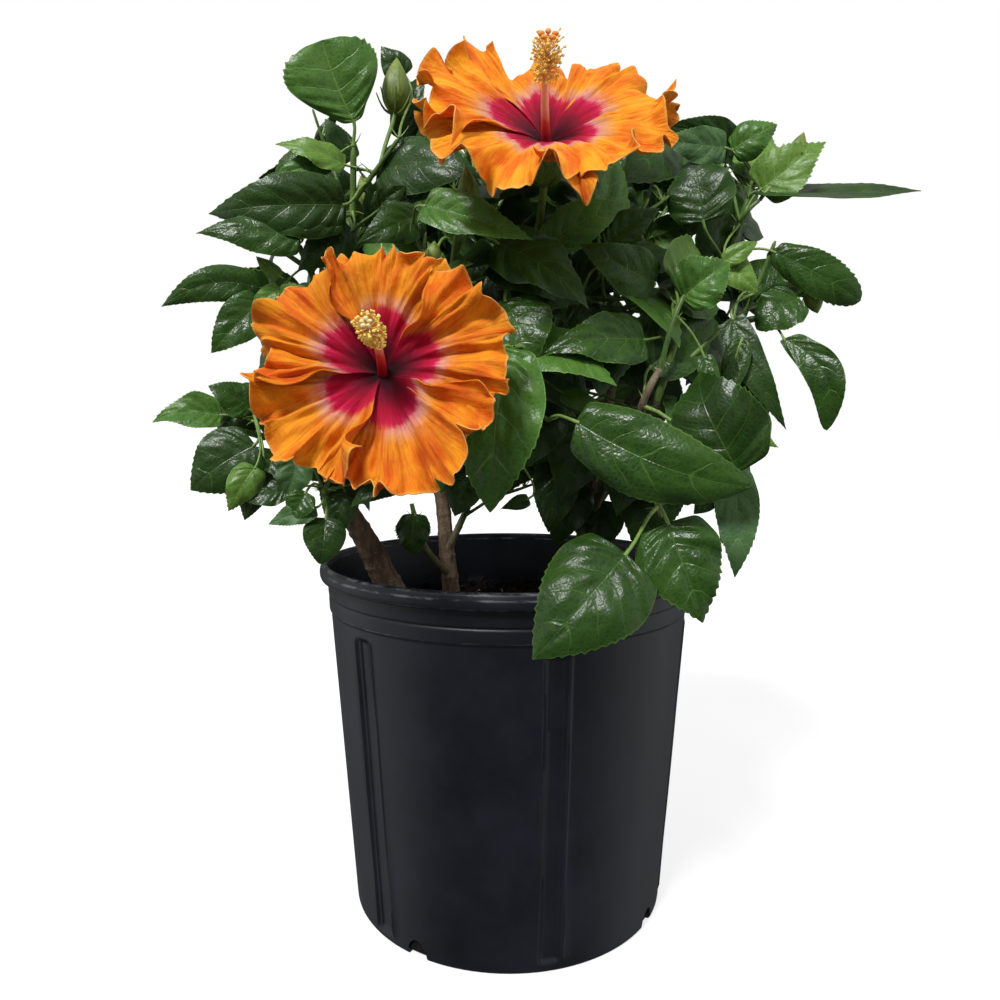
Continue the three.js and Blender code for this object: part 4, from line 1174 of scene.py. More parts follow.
def tree_of(points, faces, node, kind):
    """A shape that can be tested for overlaps, with its node, its kind and its box."""
    low, high = points.min(0) - 0.5, points.max(0) + 0.5
    shape = BVHTree.FromPolygons([tuple(p) for p in points], faces)
    return {"node": node, "kind": kind, "low": low, "high": high, "shape": shape}


def is_clear(item, ignores):
    """True if the item cuts nothing that is placed, save what is to be ignored."""
    for other in placed:
        if (item["low"] > other["high"]).any() or (item["high"] < other["low"]).any() or ignores(other):
            continue
        if item["shape"].overlap(other["shape"]):
            return False
    return True


SHEET = [(0, 1, 2), (1, 3, 4, 2), (3, 5, 4)]
SHEETS = SHEET + [tuple(k + 6 for k in face) for face in SHEET]


def plain_half(width, share):
    """Half the width of a plain blade at a share of its length: 1.13 width (1 - share)^0.8 share^0.45."""
    return 1.13 * width * (1 - share) ** 0.8 * share ** 0.45


def blade_room(node, leaf):
    """Two plain sheets, one above and one below the blade, stand for it while room is sought."""
    chord = leaf["tip"] - leaf["base"]
    length = np.linalg.norm(chord)
    along = chord / length
    across = unit(np.cross(along, leaf["looks"]))
    normal = np.cross(across, along)
    points = []
    for lift in (1.2, -2.2):
        for share in (0, 0.2, 0.58, 1):
            half = plain_half(leaf["width"], share)
            rise = BLADE_ARCH * length * 4 * share * (1 - share) + lift
            middle = leaf["base"] + along * share * length + normal * rise
            points += [middle] if share in (0, 1) else [middle - across * half, middle + across * half]
    return tree_of(np.array(points), SHEETS, node, "leaf")


def limb_room(node, curve, radius, start=0.0, kind="limb"):
    """A three-sided tube round a limb."""
    part = tubes(curve.at(np.linspace(start, 1, 8))[None], radius, 3)
    return tree_of(part["points"], [tuple(int(k) for k in face) for face in part["faces"][0]], node, kind)


for name in (*STEMS, *BOUGHS):
    placed.append(limb_room(name, curves[name], max(radii_of[name]) * 1.1))
print("limbs in place:", len(placed))


# %% What the view shows
EYE = np.array(CAMERA_PLACE, float)
AHEAD = np.array([0, math.cos(math.radians(CAMERA_PITCH)), -math.sin(math.radians(CAMERA_PITCH))])
ABOVE = np.array([0, math.sin(math.radians(CAMERA_PITCH)), math.cos(math.radians(CAMERA_PITCH))])
VIEW_SIZE = 1000


def seen(u, v, y):
    """The point at depth y that the camera has at u to the right and v down in a view of 1000 by 1000."""
    right = (u / VIEW_SIZE - 0.5) / FOCAL_TO_WIDTH
    up = (0.5 - v / VIEW_SIZE) / FOCAL_TO_WIDTH
    way = AHEAD + np.array([right, 0, 0]) + up * ABOVE
    return EYE + way * (y - EYE[1]) / way[1]


def in_view(points):
    """Where the camera has these points: u to the right and v down."""
    away = points - EYE
    depth = away @ AHEAD
    right, up = (FOCAL_TO_WIDTH * side / depth for side in (away[:, 0], away @ ABOVE))
    return np.stack([0.5 + right, 0.5 - up], -1) * VIEW_SIZE


# No drawn leaf rises above this height
CROWN_TOP = 600
# Gaps of sky, as left, top, right and bottom in the view
SKY_GAPS = {
    "above": (0, 0, 1000, 38), "left": (0, 0, 150, 1000), "top left": (0, 0, 285, 132),
    "left shoulder": (0, 132, 262, 172), "left side": (0, 0, 195, 262),
    "left notch": (150, 240, 265, 262), "left hollow": (150, 310, 250, 375),
    "left foot": (0, 435, 178, 1000), "left corner": (0, 515, 300, 1000),
    "slit": (345, 85, 385, 170), "top right": (690, 0, 1000, 112),
    "right shoulder": (830, 0, 1000, 165), "right notch": (765, 200, 860, 232),
    "far right": (865, 190, 1000, 1000), "right slit": (765, 312, 865, 335),
    "right rim": (855, 310, 1000, 1000), "right hollow": (766, 345, 783, 420),
    "right foot": (765, 430, 1000, 1000), "over throat": (480, 30, 600, 98),
    "under sail": (300, 228, 325, 240), "over wing": (293, 240, 306, 262),
    "shoot gap": (346, 197, 360, 214), "rim left": (372, 505, 448, 540),
    "stems": (372, 540, 446, 600), "rim middle": (458, 492, 540, 535),
    "pot front": (0, 600, 530, 1000), "pot foot": (0, 660, 1000, 1000),
}

# %% [markdown]
# The leaves that show clearly are listed one by one, because a rule can't put each where it grew. A
# row gives a blade's mass, its foot and tip as places in a view of 1000 by 1000, its depths there, its
# width, the number of its finish, and what is special about its form. The rest of the form is drawn.
# Listed twigs are written the same way, as the points of a curve with their depths.

# %% Leaves listed one by one
FRONT_KEYS = ("mass", "foot", "tip", "depths", "width", "look", "form")
FRONT_ROWS = {
    "fan": ("top_left", (354, 122), (322, 40), (-52, -62), 68, 2,
        {"fold": 22, "roll": 10, "tilt": 0.1, "teeth": 0.028, "teeth_from": 0.5, "point": 0.5,
        "belly": 0.95, "petiole": (354, 147, -48), "arch": 0.0, "droop": 0.0}),
    "fan back": ("top_left", (352, 160), (325, 118), (-35, -40), 19, 4),
    "upper lime": ("top_left", (345, 165), (276, 139), (-48, -60), 22, 3, {"roll": 20}),
    "upper low": ("top_left", (330, 160), (270, 178), (-48, -58), 20, 2, {"fold": 20}),
    "behind shoot": ("top_left", (350, 192), (300, 172), (-20, -25), 30, 0),
    "sail": ("top_left", (345, 205), (206, 212), (-60, -75), 44, 0,
        {"roll": -20, "tilt": 0.5, "arch": 0.1}),
    "sail under": ("top_left", (343, 217), (240, 222), (-58, -76), 32, 0, {"roll": 10}),
    "high back": ("left_high", (300, 238), (195, 229), (-70, -85), 30, 1,
        {"petiole": (287, 271, -60), "roll": 10}),
    "high front": ("top_left", (352, 230), (297, 268), (-50, -60), 30, 0),
    "left wing": ("left", (262, 288), (160, 307), (-50, -66), 27, 1, {"fold": 16, "bend": 0.12}),
    "left drop": ("left", (262, 300), (211, 352), (-60, -75), 31, 1, {"fold": 14}),
    "left sprout": ("left_high", (280, 277), (256, 256), (-60, -64), 11, 3),
    "left sprig": ("left_high", (280, 288), (250, 312), (-60, -66), 14, 3),
    "top olive": ("top_left", (377, 172), (478, 170), (-45, -75), 44, 0, {"fold": 10}),
    "top spear": ("middle_top", (424, 206), (533, 238), (-118, -135), 32, 2, {"fold": 28, "roll": -12}),
    "middle dark": ("middle_top", (497, 243), (590, 306), (-100, -120), 42, 0, {"fold": 10, "roll": -10}),
    "middle round": ("middle", (505, 300), (527, 367), (-105, -125), 45, 1,
        {"blister": 0.5, "point": 0.85}),
    "middle bar": ("glossy", (645, 340), (549, 345), (-108, -130), 37, 1, {"fold": 18}),
    "blistered": ("middle", (503, 348), (485, 510), (-128, -146), 54, 2,
        {"blister": 1.1, "pucker": 1.6, "point": 0.9, "fold": 6, "roll": 8}),
    "low dark": ("core", (470, 478), (455, 515), (-95, -105), 25, 0),
    "core under": ("middle", (552, 362), (574, 382), (-90, -94), 12, 4),
    "core green": ("core", (562, 392), (607, 408), (-75, -80), 14, 2),
    "great low": ("core", (577, 422), (751, 490), (-160, -188), 45, 1,
        {"petiole": (550, 420, -128), "fold": 12, "blister": 0.3, "point": 0.75, "roll": 6,
        "tilt": 0.15, "arch": 0.04, "bend": 0.05}),
    "great high": ("glossy", (738, 472), (692, 371), (-150, -128), 60, 0,
        {"petiole": (690, 430, -120), "fold": 10, "point": 0.95, "roll": -10, "tilt": 0.05,
        "teeth": 0.02}),
    "low lime": ("right_low", (738, 422), (779, 448), (-90, -95), 13, 3),
    "low pale": ("right_low", (735, 470), (737, 576), (-105, -128), 27, 4,
        {"fold": 8, "point": 1.0, "tilt": 0.1}),
    "low green": ("right_low", (714, 495), (694, 514), (-110, -112), 13, 1),
    "curled": ("right_low", (742, 340), (722, 410), (-70, -78), 19, 1, {"fold": 22, "curl": 0.3}),
    "slim": ("glossy", (704, 356), (722, 398), (-115, -120), 13, 1),
    "right inner": ("right", (732, 318), (790, 426), (-60, -80), 23, 0, {"bend": 0.05}),
    "right under": ("right", (745, 365), (765, 425), (-55, -70), 26, 0),
    "right round": ("right", (799, 298), (757, 327), (-50, -54), 33, 1, {"point": 0.7}),
    "right scallop": ("right_top", (774, 252), (862, 301), (-50, -62), 28, 1,
        {"petiole": (760, 262, -48), "teeth": 0.04, "teeth_from": 0.1, "fold": 6,
        "tilt": 0.2, "point": 0.55, "belly": 0.5}),
    "far blade": ("right_top", (754, 192), (924, 179), (-42, -58), 42, 0,
        {"roll": -77, "tilt": 0.1, "curl": 0.1, "arch": -0.03, "point": 1.3, "belly": 0.55}),
    "right drop": ("right", (784, 339), (826, 430), (-58, -75), 24, 1,
        {"petiole": (766, 339, -50), "bend": -0.2, "fold": 8, "tilt": 0.1, "teeth": 0.012,
        "point": 0.6, "belly": 0.5}),
    "right serrate": ("right_top", (760, 190), (826, 137), (-46, -56), 37, 3,
        {"teeth": 0.04, "teeth_from": 0.1}),
    "right crest": ("right_top", (732, 150), (778, 123), (-44, -52), 26, 2),
    "right back": ("right_top", (735, 150), (662, 125), (-38, -48), 30, 0),
    "right mid": ("right_top", (726, 148), (662, 138), (-45, -55), 26, 4, {"fold": 12}),
    "right broad": ("right_top", (703, 222), (692, 155), (-60, -50), 46, 0, {"tilt": -0.3, "point": 0.8}),
    "centre bar": ("centre", (655, 283), (584, 243), (-95, -110), 32, 1, {"fold": 14}),
    "cup": ("glossy", (682, 298), (730, 262), (-105, -109), 41, 2,
        {"fold": 34, "arch": 0.14, "tilt": 0.2}),
    "right tuft": ("right_top", (728, 262), (759, 290), (-66, -72), 22, 3),
    "right spike": ("right_top", (724, 262), (758, 241), (-70, -74), 14, 3),
    "centre olive": ("centre", (545, 246), (625, 203), (-80, -90), 29, 2),
    "centre dark": ("centre", (606, 244), (660, 208), (-85, -90), 26, 0),
    "low wing": ("left_low", (222, 415), (151, 418), (-58, -68), 29, 2, {"fold": 26}),
    "low upper": ("left_low", (250, 410), (209, 385), (-60, -70), 25, 1),
    "low broad": ("left_low", (255, 445), (190, 490), (-90, -98), 44, 0, {"point": 0.95}),
    "low leaf": ("left_low", (256, 467), (229, 512), (-100, -106), 22, 3, {"fold": 14}),
    "rim under": ("left_rim", (297, 455), (286, 494), (-100, -104), 24, 4,
        {"point": 0.7, "belly": 0.5, "tilt": 0.5}),
    "rim bright": ("left_rim", (306, 492), (290, 520), (-100, -104), 21, 1),
    "rim small": ("left_rim", (286, 490), (238, 498), (-96, -100), 17, 0),
    "rim pale": ("left_rim", (316, 508), (268, 524), (-98, -104), 17, 4),
    "rim hang": ("left_rim", (326, 518), (322, 563), (-95, -106), 28, 0, {"fold": 14, "point": 0.75}),
    "rim inner": ("left_rim", (378, 486), (350, 506), (-70, -74), 12, 0),
    "rim toothed": ("core", (415, 514), (413, 554), (-34, -38), 24, 1,
        {"petiole": (415, 518, -28), "teeth": 0.07, "teeth_from": 0.05, "point": 0.8,
        "fold": 6, "tilt": 0.1}),
    "top spur": ("top_left", (405, 75), (381, 45), (-20, -24), 22, 0),
    "top crown": ("crown", (402, 140), (425, 72), (-10, -14), 24, 0),
    "shoot dark": ("top_left", (376, 212), (406, 186), (-60, -64), 17, 0),
    "behind bloom": ("middle_top", (420, 215), (360, 240), (-85, -110), 28, 0),
    "over rim": ("rim", (626, 554), (533, 658), (-166, -188), 62, 0,
        {"petiole": (632, 515, -130), "fold": 10, "blister": 0.45, "point": 1.0, "tilt": 0.25,
        "teeth": 0.02}),
    "rim right": ("rim", (668, 523), (707, 622), (-158, -172), 50, 1,
        {"fold": 14, "teeth": 0.032, "teeth_from": 0.35, "blister": 0.4, "tilt": 0.2}),
    "low fill": ("left_low", (262, 395), (212, 436), (-40, -50), 36, 0),
    "low deep": ("left_low", (275, 450), (262, 500), (-50, -60), 34, 0),
    "left deep": ("left_rim", (348, 468), (322, 512), (-40, -50), 34, 0),
    "stem deep": ("left_rim", (392, 462), (366, 500), (-30, -40), 34, 0),
    "mid deep": ("core", (452, 455), (440, 492), (-10, -20), 30, 0),
    "core deep": ("core", (545, 400), (522, 470), (-40, -50), 46, 0),
    "core drop": ("core", (585, 420), (560, 500), (-35, -50), 50, 0),
    "core fall": ("core", (640, 430), (618, 515), (-40, -55), 54, 0),
    "rim shade": ("core", (570, 480), (556, 545), (-20, -30), 40, 0),
    "rim dusk": ("right_low", (660, 470), (636, 548), (-30, -40), 48, 0),
    "gap leaf": ("core", (529, 499), (501, 508), (-58, -64), 12, 0, {"petiole": (548, 488, -45)}),
    "lime tip": ("middle_top", (441, 280), (428, 242), (-112, -120), 12, 3, {"fold": 25}),
    "lime side": ("middle_top", (446, 272), (472, 262), (-112, -118), 8, 3),
    "core dusk": ("core", (556, 462), (548, 532), (-30, -40), 34, 0),
    "left fill": ("left_rim", (330, 462), (300, 478), (-60, -70), 22, 0),
    "left under": ("left_low", (262, 470), (243, 520), (-80, -86), 22, 0),
    "far deep": ("left_rim", (345, 490), (338, 540), (-60, -66), 24, 0),
    "low dusk": ("core", (600, 500), (594, 556), (0, -10), 40, 0),
}
FRONT_LEAVES = {name: {"form": {}, **dict(zip(FRONT_KEYS, row))} for name, row in FRONT_ROWS.items()}
FRONT_TWIGS = {
    "bud side": ("top_left", ((363, 200, -45), (380, 165, -50), (399, 138, -55))),
    "middle up": ("middle", ((500, 345, -110), (512, 318, -100), (508, 288, -95))),
    "core front": ("core", ((516, 398, -62), (535, 412, -100), (548, 420, -128))),
    "core low": ("core", ((510, 400, -62), (480, 450, -75), (470, 475, -90))),
    "rim tip": ("rim", ((650, 480, -125), (658, 498, -128), (661, 518, -132))),
    "right fork": ("right_top", ((727, 232, -50), (742, 212, -52), (760, 200, -50))),
    "stem sprig": ("core", ((447, 572, 0), (430, 558, -15), (418, 540, -26), (415, 518, -28))),
    "gap twig": ("core", ((400, 462, -30), (408, 488, -26), (415, 518, -28))),
    "stem fork": ("core", ((449, 548, 0), (461, 522, -4), (469, 505, -8), (476, 488, -12))),
    "bare": ("glossy", ((644, 432, -78), (634, 412, -112), (648, 388, -112), (661, 368, -108))),
    "green shoot": ("glossy", ((658, 367, -108), (668, 330, -118), (684, 295, -112))),
}
# Twigs of old wood, which start where they are put and not on a shoot
WOODY_TWIGS = ("stem sprig", "stem fork", "bare")
WOODY_RADII = (2.8, 2.2)
# Twigs that no leaf may cover, and the half width of the band kept free for them
SHOWN_TWIGS = ("bare", "green shoot")
TWIG_BAND = 7
# How far a listed leaf looks up from the camera
TILT = 0.35
# Mass, foot, tip and radius of each bud
BUDS = [
    ("leaves_top_left", (-78, -34, 566), (-76, -34, 602), 9.5),
    ("leaves_middle_top", (-24, -112, 478), (-26, -116, 506), 7),
    ("leaves_middle_top", (-46, -125, 449), (-44, -126, 461), 4.5),
    ("leaves_right_top", (190, -46, 528), (196, -50, 548), 6),
    ("leaves_right", (206, -44, 446), (210, -48, 430), 6),
    ("leaves_left_back_high", (-118, 95, 535), (-122, 100, 566), 8),
    ("leaves_back", (-40, 200, 470), (-44, 210, 498), 8),
]

# %% Twigs of each mass
TWIG_RINGS = 26


def nearest_on(mass, point):
    """The point on a mass's twigs that is nearest to the given one, in steps of a twentieth."""
    spots = [twig["curve"].at(np.arange(twig["from"], 1.001, 0.05)) for twig in mass["twigs"]]
    spots = np.concatenate(spots)
    return spots[np.argmin(np.linalg.norm(spots - point, axis=1))]


masses = {}
for name, spec in MASSES.items():
    shoot = curves[name]
    draw = seeded_draws(spec["seed"])
    parent_radius = max(radii_of[spec["on"]])
    bare = max(0.3, (2.6 * SHOOT_RADII[0] + 1.5 * parent_radius) / shoot.length + 0.1)
    mass = {"name": name, "spec": spec, "draw": draw, "leaves": [], "stipules": [], "buds": []}
    mass["twigs"] = [{"curve": shoot, "from": bare, "radii": SHOOT_RADII}]
    placed.append(limb_room(name, shoot, SHOOT_RADII[0], kind="twig"))
    for i in range(spec["twigs"]):
        at = bare + (0.85 - bare) * (i + draw()) / spec["twigs"]
        span = shoot.length * (TWIG_SPAN + TWIG_SPAN_SPREAD * draw())
        root, axis = shoot.at(at), shoot.heading(at)
        for dodge in DODGES:
            azimuth = spec["seed"] * 50 + i * GOLDEN_ANGLE + dodge
            heading = unit(turned_from(axis, TWIG_ANGLE, azimuth) + 0.25 * UP)
            curve = Curve(root, root + 0.5 * span * heading, root + span * heading + 0.08 * span * UP)
            room = limb_room(name, curve, TWIG_RADII[0] + 0.6, 0.15, "twig")
            if is_clear(room, lambda other: other["node"] == name and other is placed[-1]):
                placed.append(room)
                mass["twigs"].append({"curve": curve, "from": 0.35, "radii": TWIG_RADII})
                break
    masses[name] = mass
for title, (name, spots) in FRONT_TWIGS.items():
    mass = masses["leaves_" + name]
    points = [seen(*spot) for spot in spots]
    is_woody = title in WOODY_TWIGS
    if not is_woody:
        points[0] = nearest_on(mass, points[0])
    curve = Curve(*points)
    placed.append(limb_room(mass["name"], curve, TWIG_RADII[0], kind="twig"))
    radii, woody = (WOODY_RADII, TWIG_RINGS - 1) if is_woody else (TWIG_RADII, 0)
    mass["twigs"].append({"curve": curve, "from": 0.3, "radii": radii, "woody": woody})
print("twigs:", sum(len(mass["twigs"]) for mass in masses.values()))


# %% Set the leaves
def front_leaf(spec):
    """A listed leaf looks at the camera and a little up, then turns round its midrib by roll."""
    base, tip = (seen(*spec[end], depth) for end, depth in zip(("foot", "tip"), spec["depths"]))
    form, mass = spec["form"], masses["leaves_" + spec["mass"]]
    along = unit(tip - base)
    looks = unit(unit(EYE - base) + form.get("tilt", TILT) * UP)
    side = np.cross(along, looks)
    roll = math.radians(form.get("roll", 0))
    looks = looks * math.cos(roll) + side * math.sin(roll)
    hint = seen(*form["petiole"]) if "petiole" in form else base - SHOW_PETIOLE * along
    teeth = form.get("teeth", 0.014 + 0.005 * min(spec["look"], 3))
    return {"root": nearest_on(mass, hint), "base": base, "tip": tip, "looks": looks, "form": form,
            "width": spec["width"], "look": spec["look"], "teeth": teeth, "show": True,
            "mass": mass["name"]}


def margin_points(leaf, rows=9):
    """Points on both margins and the midrib of a plain blade."""
    chord = leaf["tip"] - leaf["base"]
    length = np.linalg.norm(chord)
    across = unit(np.cross(chord, leaf["looks"]))
    normal = np.cross(across, chord / length)
    share = np.linspace(0.04, 1, rows)[:, None]
    half = plain_half(leaf["width"], share)
    middle = leaf["base"] + chord * share + normal * BLADE_ARCH * length * 4 * share * (1 - share)
    return np.stack([middle - half * across, middle, middle + half * across])


front = [front_leaf(spec) for spec in FRONT_LEAVES.values()]
for leaf in front:
    masses[leaf["mass"]]["leaves"].append(leaf)
    placed.append(blade_room(leaf["mass"], leaf))
longest = max(np.linalg.norm(leaf["base"] - leaf["root"]) for leaf in front)
print("leaves set by hand:", len(front), "longest petiole:", round(longest))


def front_screen():
    """One shape of all the listed leaves, the twigs that show, and both open blooms."""
    points, faces = [], []
    for leaf in front:
        start = len(points)
        points += [tuple(p) for p in margin_points(leaf).reshape(-1, 3)]
        faces += [tuple(int(k) + start for k in quad) for quad in grid_quads(3, 9)]
    for title in SHOWN_TWIGS:
        spots = np.array([seen(*spot) for spot in FRONT_TWIGS[title][1]])
        for side in (np.array([1.0, 0, 0]), UP):
            band = np.stack([spots - TWIG_BAND * side, spots + TWIG_BAND * side])
            start = len(points)
            points += [tuple(p) for p in band.reshape(-1, 3)]
            faces += [tuple(int(k) + start for k in quad) for quad in grid_quads(2, len(spots))]
    turn = 2 * np.pi * np.arange(16) / 16
    for spec in BLOOMS.values():
        looks = unit(np.array(spec["looks"], float))
        side = unit(np.cross(UP, looks))
        ring = np.cos(turn)[:, None] * side + np.sin(turn)[:, None] * np.cross(looks, side)
        faces.append(tuple(range(len(points), len(points) + 16)))
        points += [tuple(p) for p in np.array(spec["throat"]) + 12 * looks + spec["radius"] * ring]
    return BVHTree.FromPolygons(points, faces)


screen = front_screen()


def spoils_view(leaf):
    """True where a leaf would cover one that the view shows, or a bloom, or would close a gap of sky."""
    points = margin_points(leaf).reshape(-1, 3)
    if points[:, 2].max() > CROWN_TOP:
        return True
    u, v = in_view(points).T
    for left, top, right, bottom in SKY_GAPS.values():
        if ((u > left) & (u < right) & (v > top) & (v < bottom)).any():
            return True
    rays = zip(points, unit(points - EYE))
    return any(screen.ray_cast(tuple(point), tuple(way))[0] is not None for point, way in rays)


def add_leaf(mass, root, base, tip, width, looks, look, teeth):
    """Keeps the leaf if there is room for its blade and it spoils nothing of the view."""
    leaf = {"root": root, "base": base, "tip": tip, "looks": looks, "width": width,
            "look": look, "teeth": teeth, "form": {}, "show": False}
    if spoils_view(leaf):
        return False
    room = blade_room(mass["name"], leaf)
    if not is_clear(room, lambda other: other["kind"] == "twig" and other["node"] == mass["name"]):
        return False
    placed.append(room)
    mass["leaves"].append(leaf)
    return True


def rule_leaf(mass, twig, index, count):
    """Leaf number index of count on a twig: the first is the oldest, largest and lowest, and each next
    one stands a golden angle further round."""
    draw, seed = mass["draw"], mass["spec"]["seed"]
    age = 1 - (index + 0.5) / count
    at = twig["from"] + (1 - twig["from"]) * (index + 0.2 + 0.6 * draw()) / count
    size = (YOUNG_LEAF + (OLD_LEAF - YOUNG_LEAF) * age) * (0.85 + 0.3 * draw())
    azimuth = seed * 77 + index * GOLDEN_ANGLE + 24 * (draw() - 0.5)
    droop = (0.25 + 0.75 * age) * (0.5 + 0.7 * draw())
    roll = 1.2 * (draw() - 0.5)
    return try_leaf(mass, twig, at, size, azimuth, droop, roll, age)


def try_leaf(mass, twig, at, size, azimuth, droop, roll, age, low=-np.inf, high=np.inf):
    """The first way to turn, of six, in which the leaf stays in the crown, hides no bloom and fits."""
    root, axis = twig["curve"].at(at), twig["curve"].heading(at)
    outward = unit((root - CORE) * (1, 1, 0))
    for dodge in DODGES:
        heading = turned_from(axis, LEAF_ANGLE + OLD_LEAF_ANGLE * age, azimuth + dodge)
        base = root + heading * PETIOLE_TO_BLADE * size + 3 * UP
        tip = base + unit(heading + 0.35 * outward - droop * UP) * size
        looks = 0.75 * UP + 0.7 * outward + (LIGHT if root[1] < CORE[1] else 0) + roll * SIDEWAYS
        outside = (tip < low).any() or (tip > high).any()
        if outside or not in_crown(tip) or hides_bloom(tip) or hides_bloom(base):
            continue
        look = 3 - sum(age > limit for limit in LOOK_AGES)
        teeth = 0.014 + 0.022 * (1 - age)
        if add_leaf(mass, root, base, tip, WIDTH_TO_LENGTH * size, looks, look, teeth):
            return True
    return False


for index in range(max(spec["leaves"] for spec in MASSES.values())):
    for mass in masses.values():
        for order, twig in enumerate(mass["twigs"]):
            count = TWIG_LEAVES if order else mass["spec"]["leaves"]
            if index < count:
                rule_leaf(mass, twig, index, count)
print("leaves by the solids' rule:", sum(len(mass["leaves"]) for mass in masses.values()))

# %% Carry on to finer twigs
FINE_TWIGS = 6
FINE_LEAVES = 3
FINE_SIZE = (40, 74)
FINE_RADII = (1.35, 0.8)
FINE_SPAN = (14, 46)
FINE_ANGLE = (35, 75)
REACH_MARGIN = 5

for mass in masses.values():
    random = np.random.default_rng(mass["spec"]["seed"] + 500)
    low, high = (np.array(corner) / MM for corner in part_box(mass["name"]))
    for k in range(FINE_TWIGS * len(mass["twigs"])):
        twig = mass["twigs"][k % len(mass["twigs"])]
        at = random.uniform(twig["from"], 0.97)
        root, axis = twig["curve"].at(at), twig["curve"].heading(at)
        span = random.uniform(*FINE_SPAN)
        heading = turned_from(axis, random.uniform(*FINE_ANGLE), random.uniform(0, 360))
        heading = unit(heading + 0.3 * UP)
        curve = Curve(root, root + 0.5 * span * heading, root + span * heading + 0.1 * span * UP)
        sprig = {"curve": curve, "from": 0.45, "radii": FINE_RADII}
        kept = 0
        for index in range(FINE_LEAVES):
            age = random.uniform(0.05, 0.95)
            size = random.uniform(*FINE_SIZE) * (0.8 + 0.35 * age)
            draws = random.uniform(0, 1, 4)
            kept += try_leaf(mass, sprig, 0.55 + 0.2 * index, size, 360 * draws[0], 0.2 + 0.9 * draws[1],
                             1.2 * (draws[2] - 0.5), age, low - REACH_MARGIN, high + REACH_MARGIN)
        if kept:
            mass["twigs"].append(sprig)
print("leaves with the finer twigs:", sum(len(mass["leaves"]) for mass in masses.values()))

# %% [markdown]
# Petioles are thin tubes that bend from the twig into the blade, and at each foot stand two
# stipules, fine green spikes. Twigs, petioles, stipules and buds of a mass are joined into one piece,
# and its blades into another.


# %% Twigs, petioles and stipules
def petioles(leaves):
    """Cubic Bezier curves: out of the twig towards the blade, then bent into the blade's direction."""
    root, base, tip, width = rows_of(leaves, "root", "base", "tip", "width")
    gap = np.linalg.norm(base - root, axis=1, keepdims=True)
    into = unit(tip - base)
    one = root + 0.4 * gap * unit(unit(base - root) + 0.35 * UP)
    two = base - 0.3 * gap * into
    t = np.linspace(0, 1, 9)[None, :, None]
    end = base + 1.5 * into
    weights = ((1 - t) ** 3, 3 * t * (1 - t) ** 2, 3 * t * t * (1 - t), t ** 3)
    paths = sum(weight * spot[:, None] for weight, spot in zip(weights, (root, one, two, end)))
    share = np.linspace(0, 1, 9)[None]
    radii = (0.7 + 0.008 * width[:, None]) * (1 + 0.35 * (2 * share - 1) ** 4) * (1 - 0.15 * share)
    return tubes(paths, radii, 7, look=1)


def stipules(leaves, seed):
    """Two tapered spikes at each leaf's foot, first + t out + t^2 bow, 4 to 8 mm long."""
    random = np.random.default_rng(seed)
    root, base = (np.repeat(row, 2, axis=0) for row in rows_of(leaves, "root", "base"))
    way = unit(base - root)
    side = unit(np.cross(way, UP)) * np.tile([1, -1], len(leaves))[:, None]
    size = random.uniform(4, 8, (len(root), 1))
    first = root + unit(way + 0.8 * side) * 2
    out = size * unit(0.6 * way + 0.9 * side + 0.5 * UP)
    return tubes(bowed(first, out, size * 0.4 * way, 4), np.linspace(0.55, 0.12, 4)[None], 4, look=1)


WOODY_RINGS = 9
TWIG_SIDES = 10


def twig_tubes(mass):
    """Tapered tubes with a swelling at every 15 mm. The first rings of a shoot are woody."""
    parts = []
    for twig in mass["twigs"]:
        thick, thin = twig["radii"]
        share = np.linspace(0, 1, TWIG_RINGS)
        run = share * twig["curve"].length
        swell = 1 + 0.12 * np.maximum(0, np.sin(run / 15 * 2 * np.pi)) ** 8
        radius = (thick + (thin - thick) * share) * swell
        radius[-1] *= 0.45
        part = tubes(twig["curve"].at(share)[None], radius, TWIG_SIDES)
        woody = twig.get("woody", WOODY_RINGS if twig["radii"] == SHOOT_RADII else 0)
        part["looks"][0][:woody * TWIG_SIDES] = 3
        parts.append(part)
    return join(parts)


# %% Buds
BUD_STALK = 40


def bud_part(foot, tip, radius, seed):
    """A pointed bud with five ridges, r = radius sin(pi share^0.75)^0.8 (1 + 0.07 cos 5a), and a
    ring of seven narrow bracts that stand out from its foot."""
    foot, tip = np.array(foot, float), np.array(tip, float)
    share = np.linspace(0.01, 1, 20)
    swell = np.maximum(0.05, np.sin(np.pi * share ** 0.75) ** 0.8)
    angle = 2 * np.pi * np.arange(20) / 20
    ridges = 0.07 * np.cos(5 * angle)[None] * np.ones((20, 1))
    path = foot + (tip - foot) * share[:, None]
    body = tubes(path[None], radius * swell, 20, relief=ridges[None], look=2)
    axis = unit(tip - foot)
    side = unit(np.cross(SIDEWAYS, axis))
    turn = 2 * np.pi * np.arange(7) / 7 + seed
    out = side * np.cos(turn)[:, None] + np.cross(axis, side) * np.sin(turn)[:, None]
    size = radius * 1.25
    paths = bowed(foot + radius * 0.25 * out, size * 0.9 * out, size * 1.1 * axis[None], 6)
    bracts = tubes(paths, np.linspace(0.1, 0.03, 6)[None] * radius + 0.15, 5, look=2)
    return join([body, bracts])


def bud_stalk(mass, foot, tip):
    """A thin tube from the twig nearest to a point 40 mm under the bud, into the bud's own axis."""
    foot, tip = np.array(foot, float), np.array(tip, float)
    root = nearest_on(mass, foot - BUD_STALK * UP)
    axis = unit(tip - foot)
    curve = Curve(root, root + 0.4 * (foot - root) + 4 * UP, foot - 8 * axis, foot + 1.5 * axis)
    return tubes(curve.at(np.linspace(0, 1, 14))[None], np.linspace(1.3, 1.6, 14), 8, look=1)
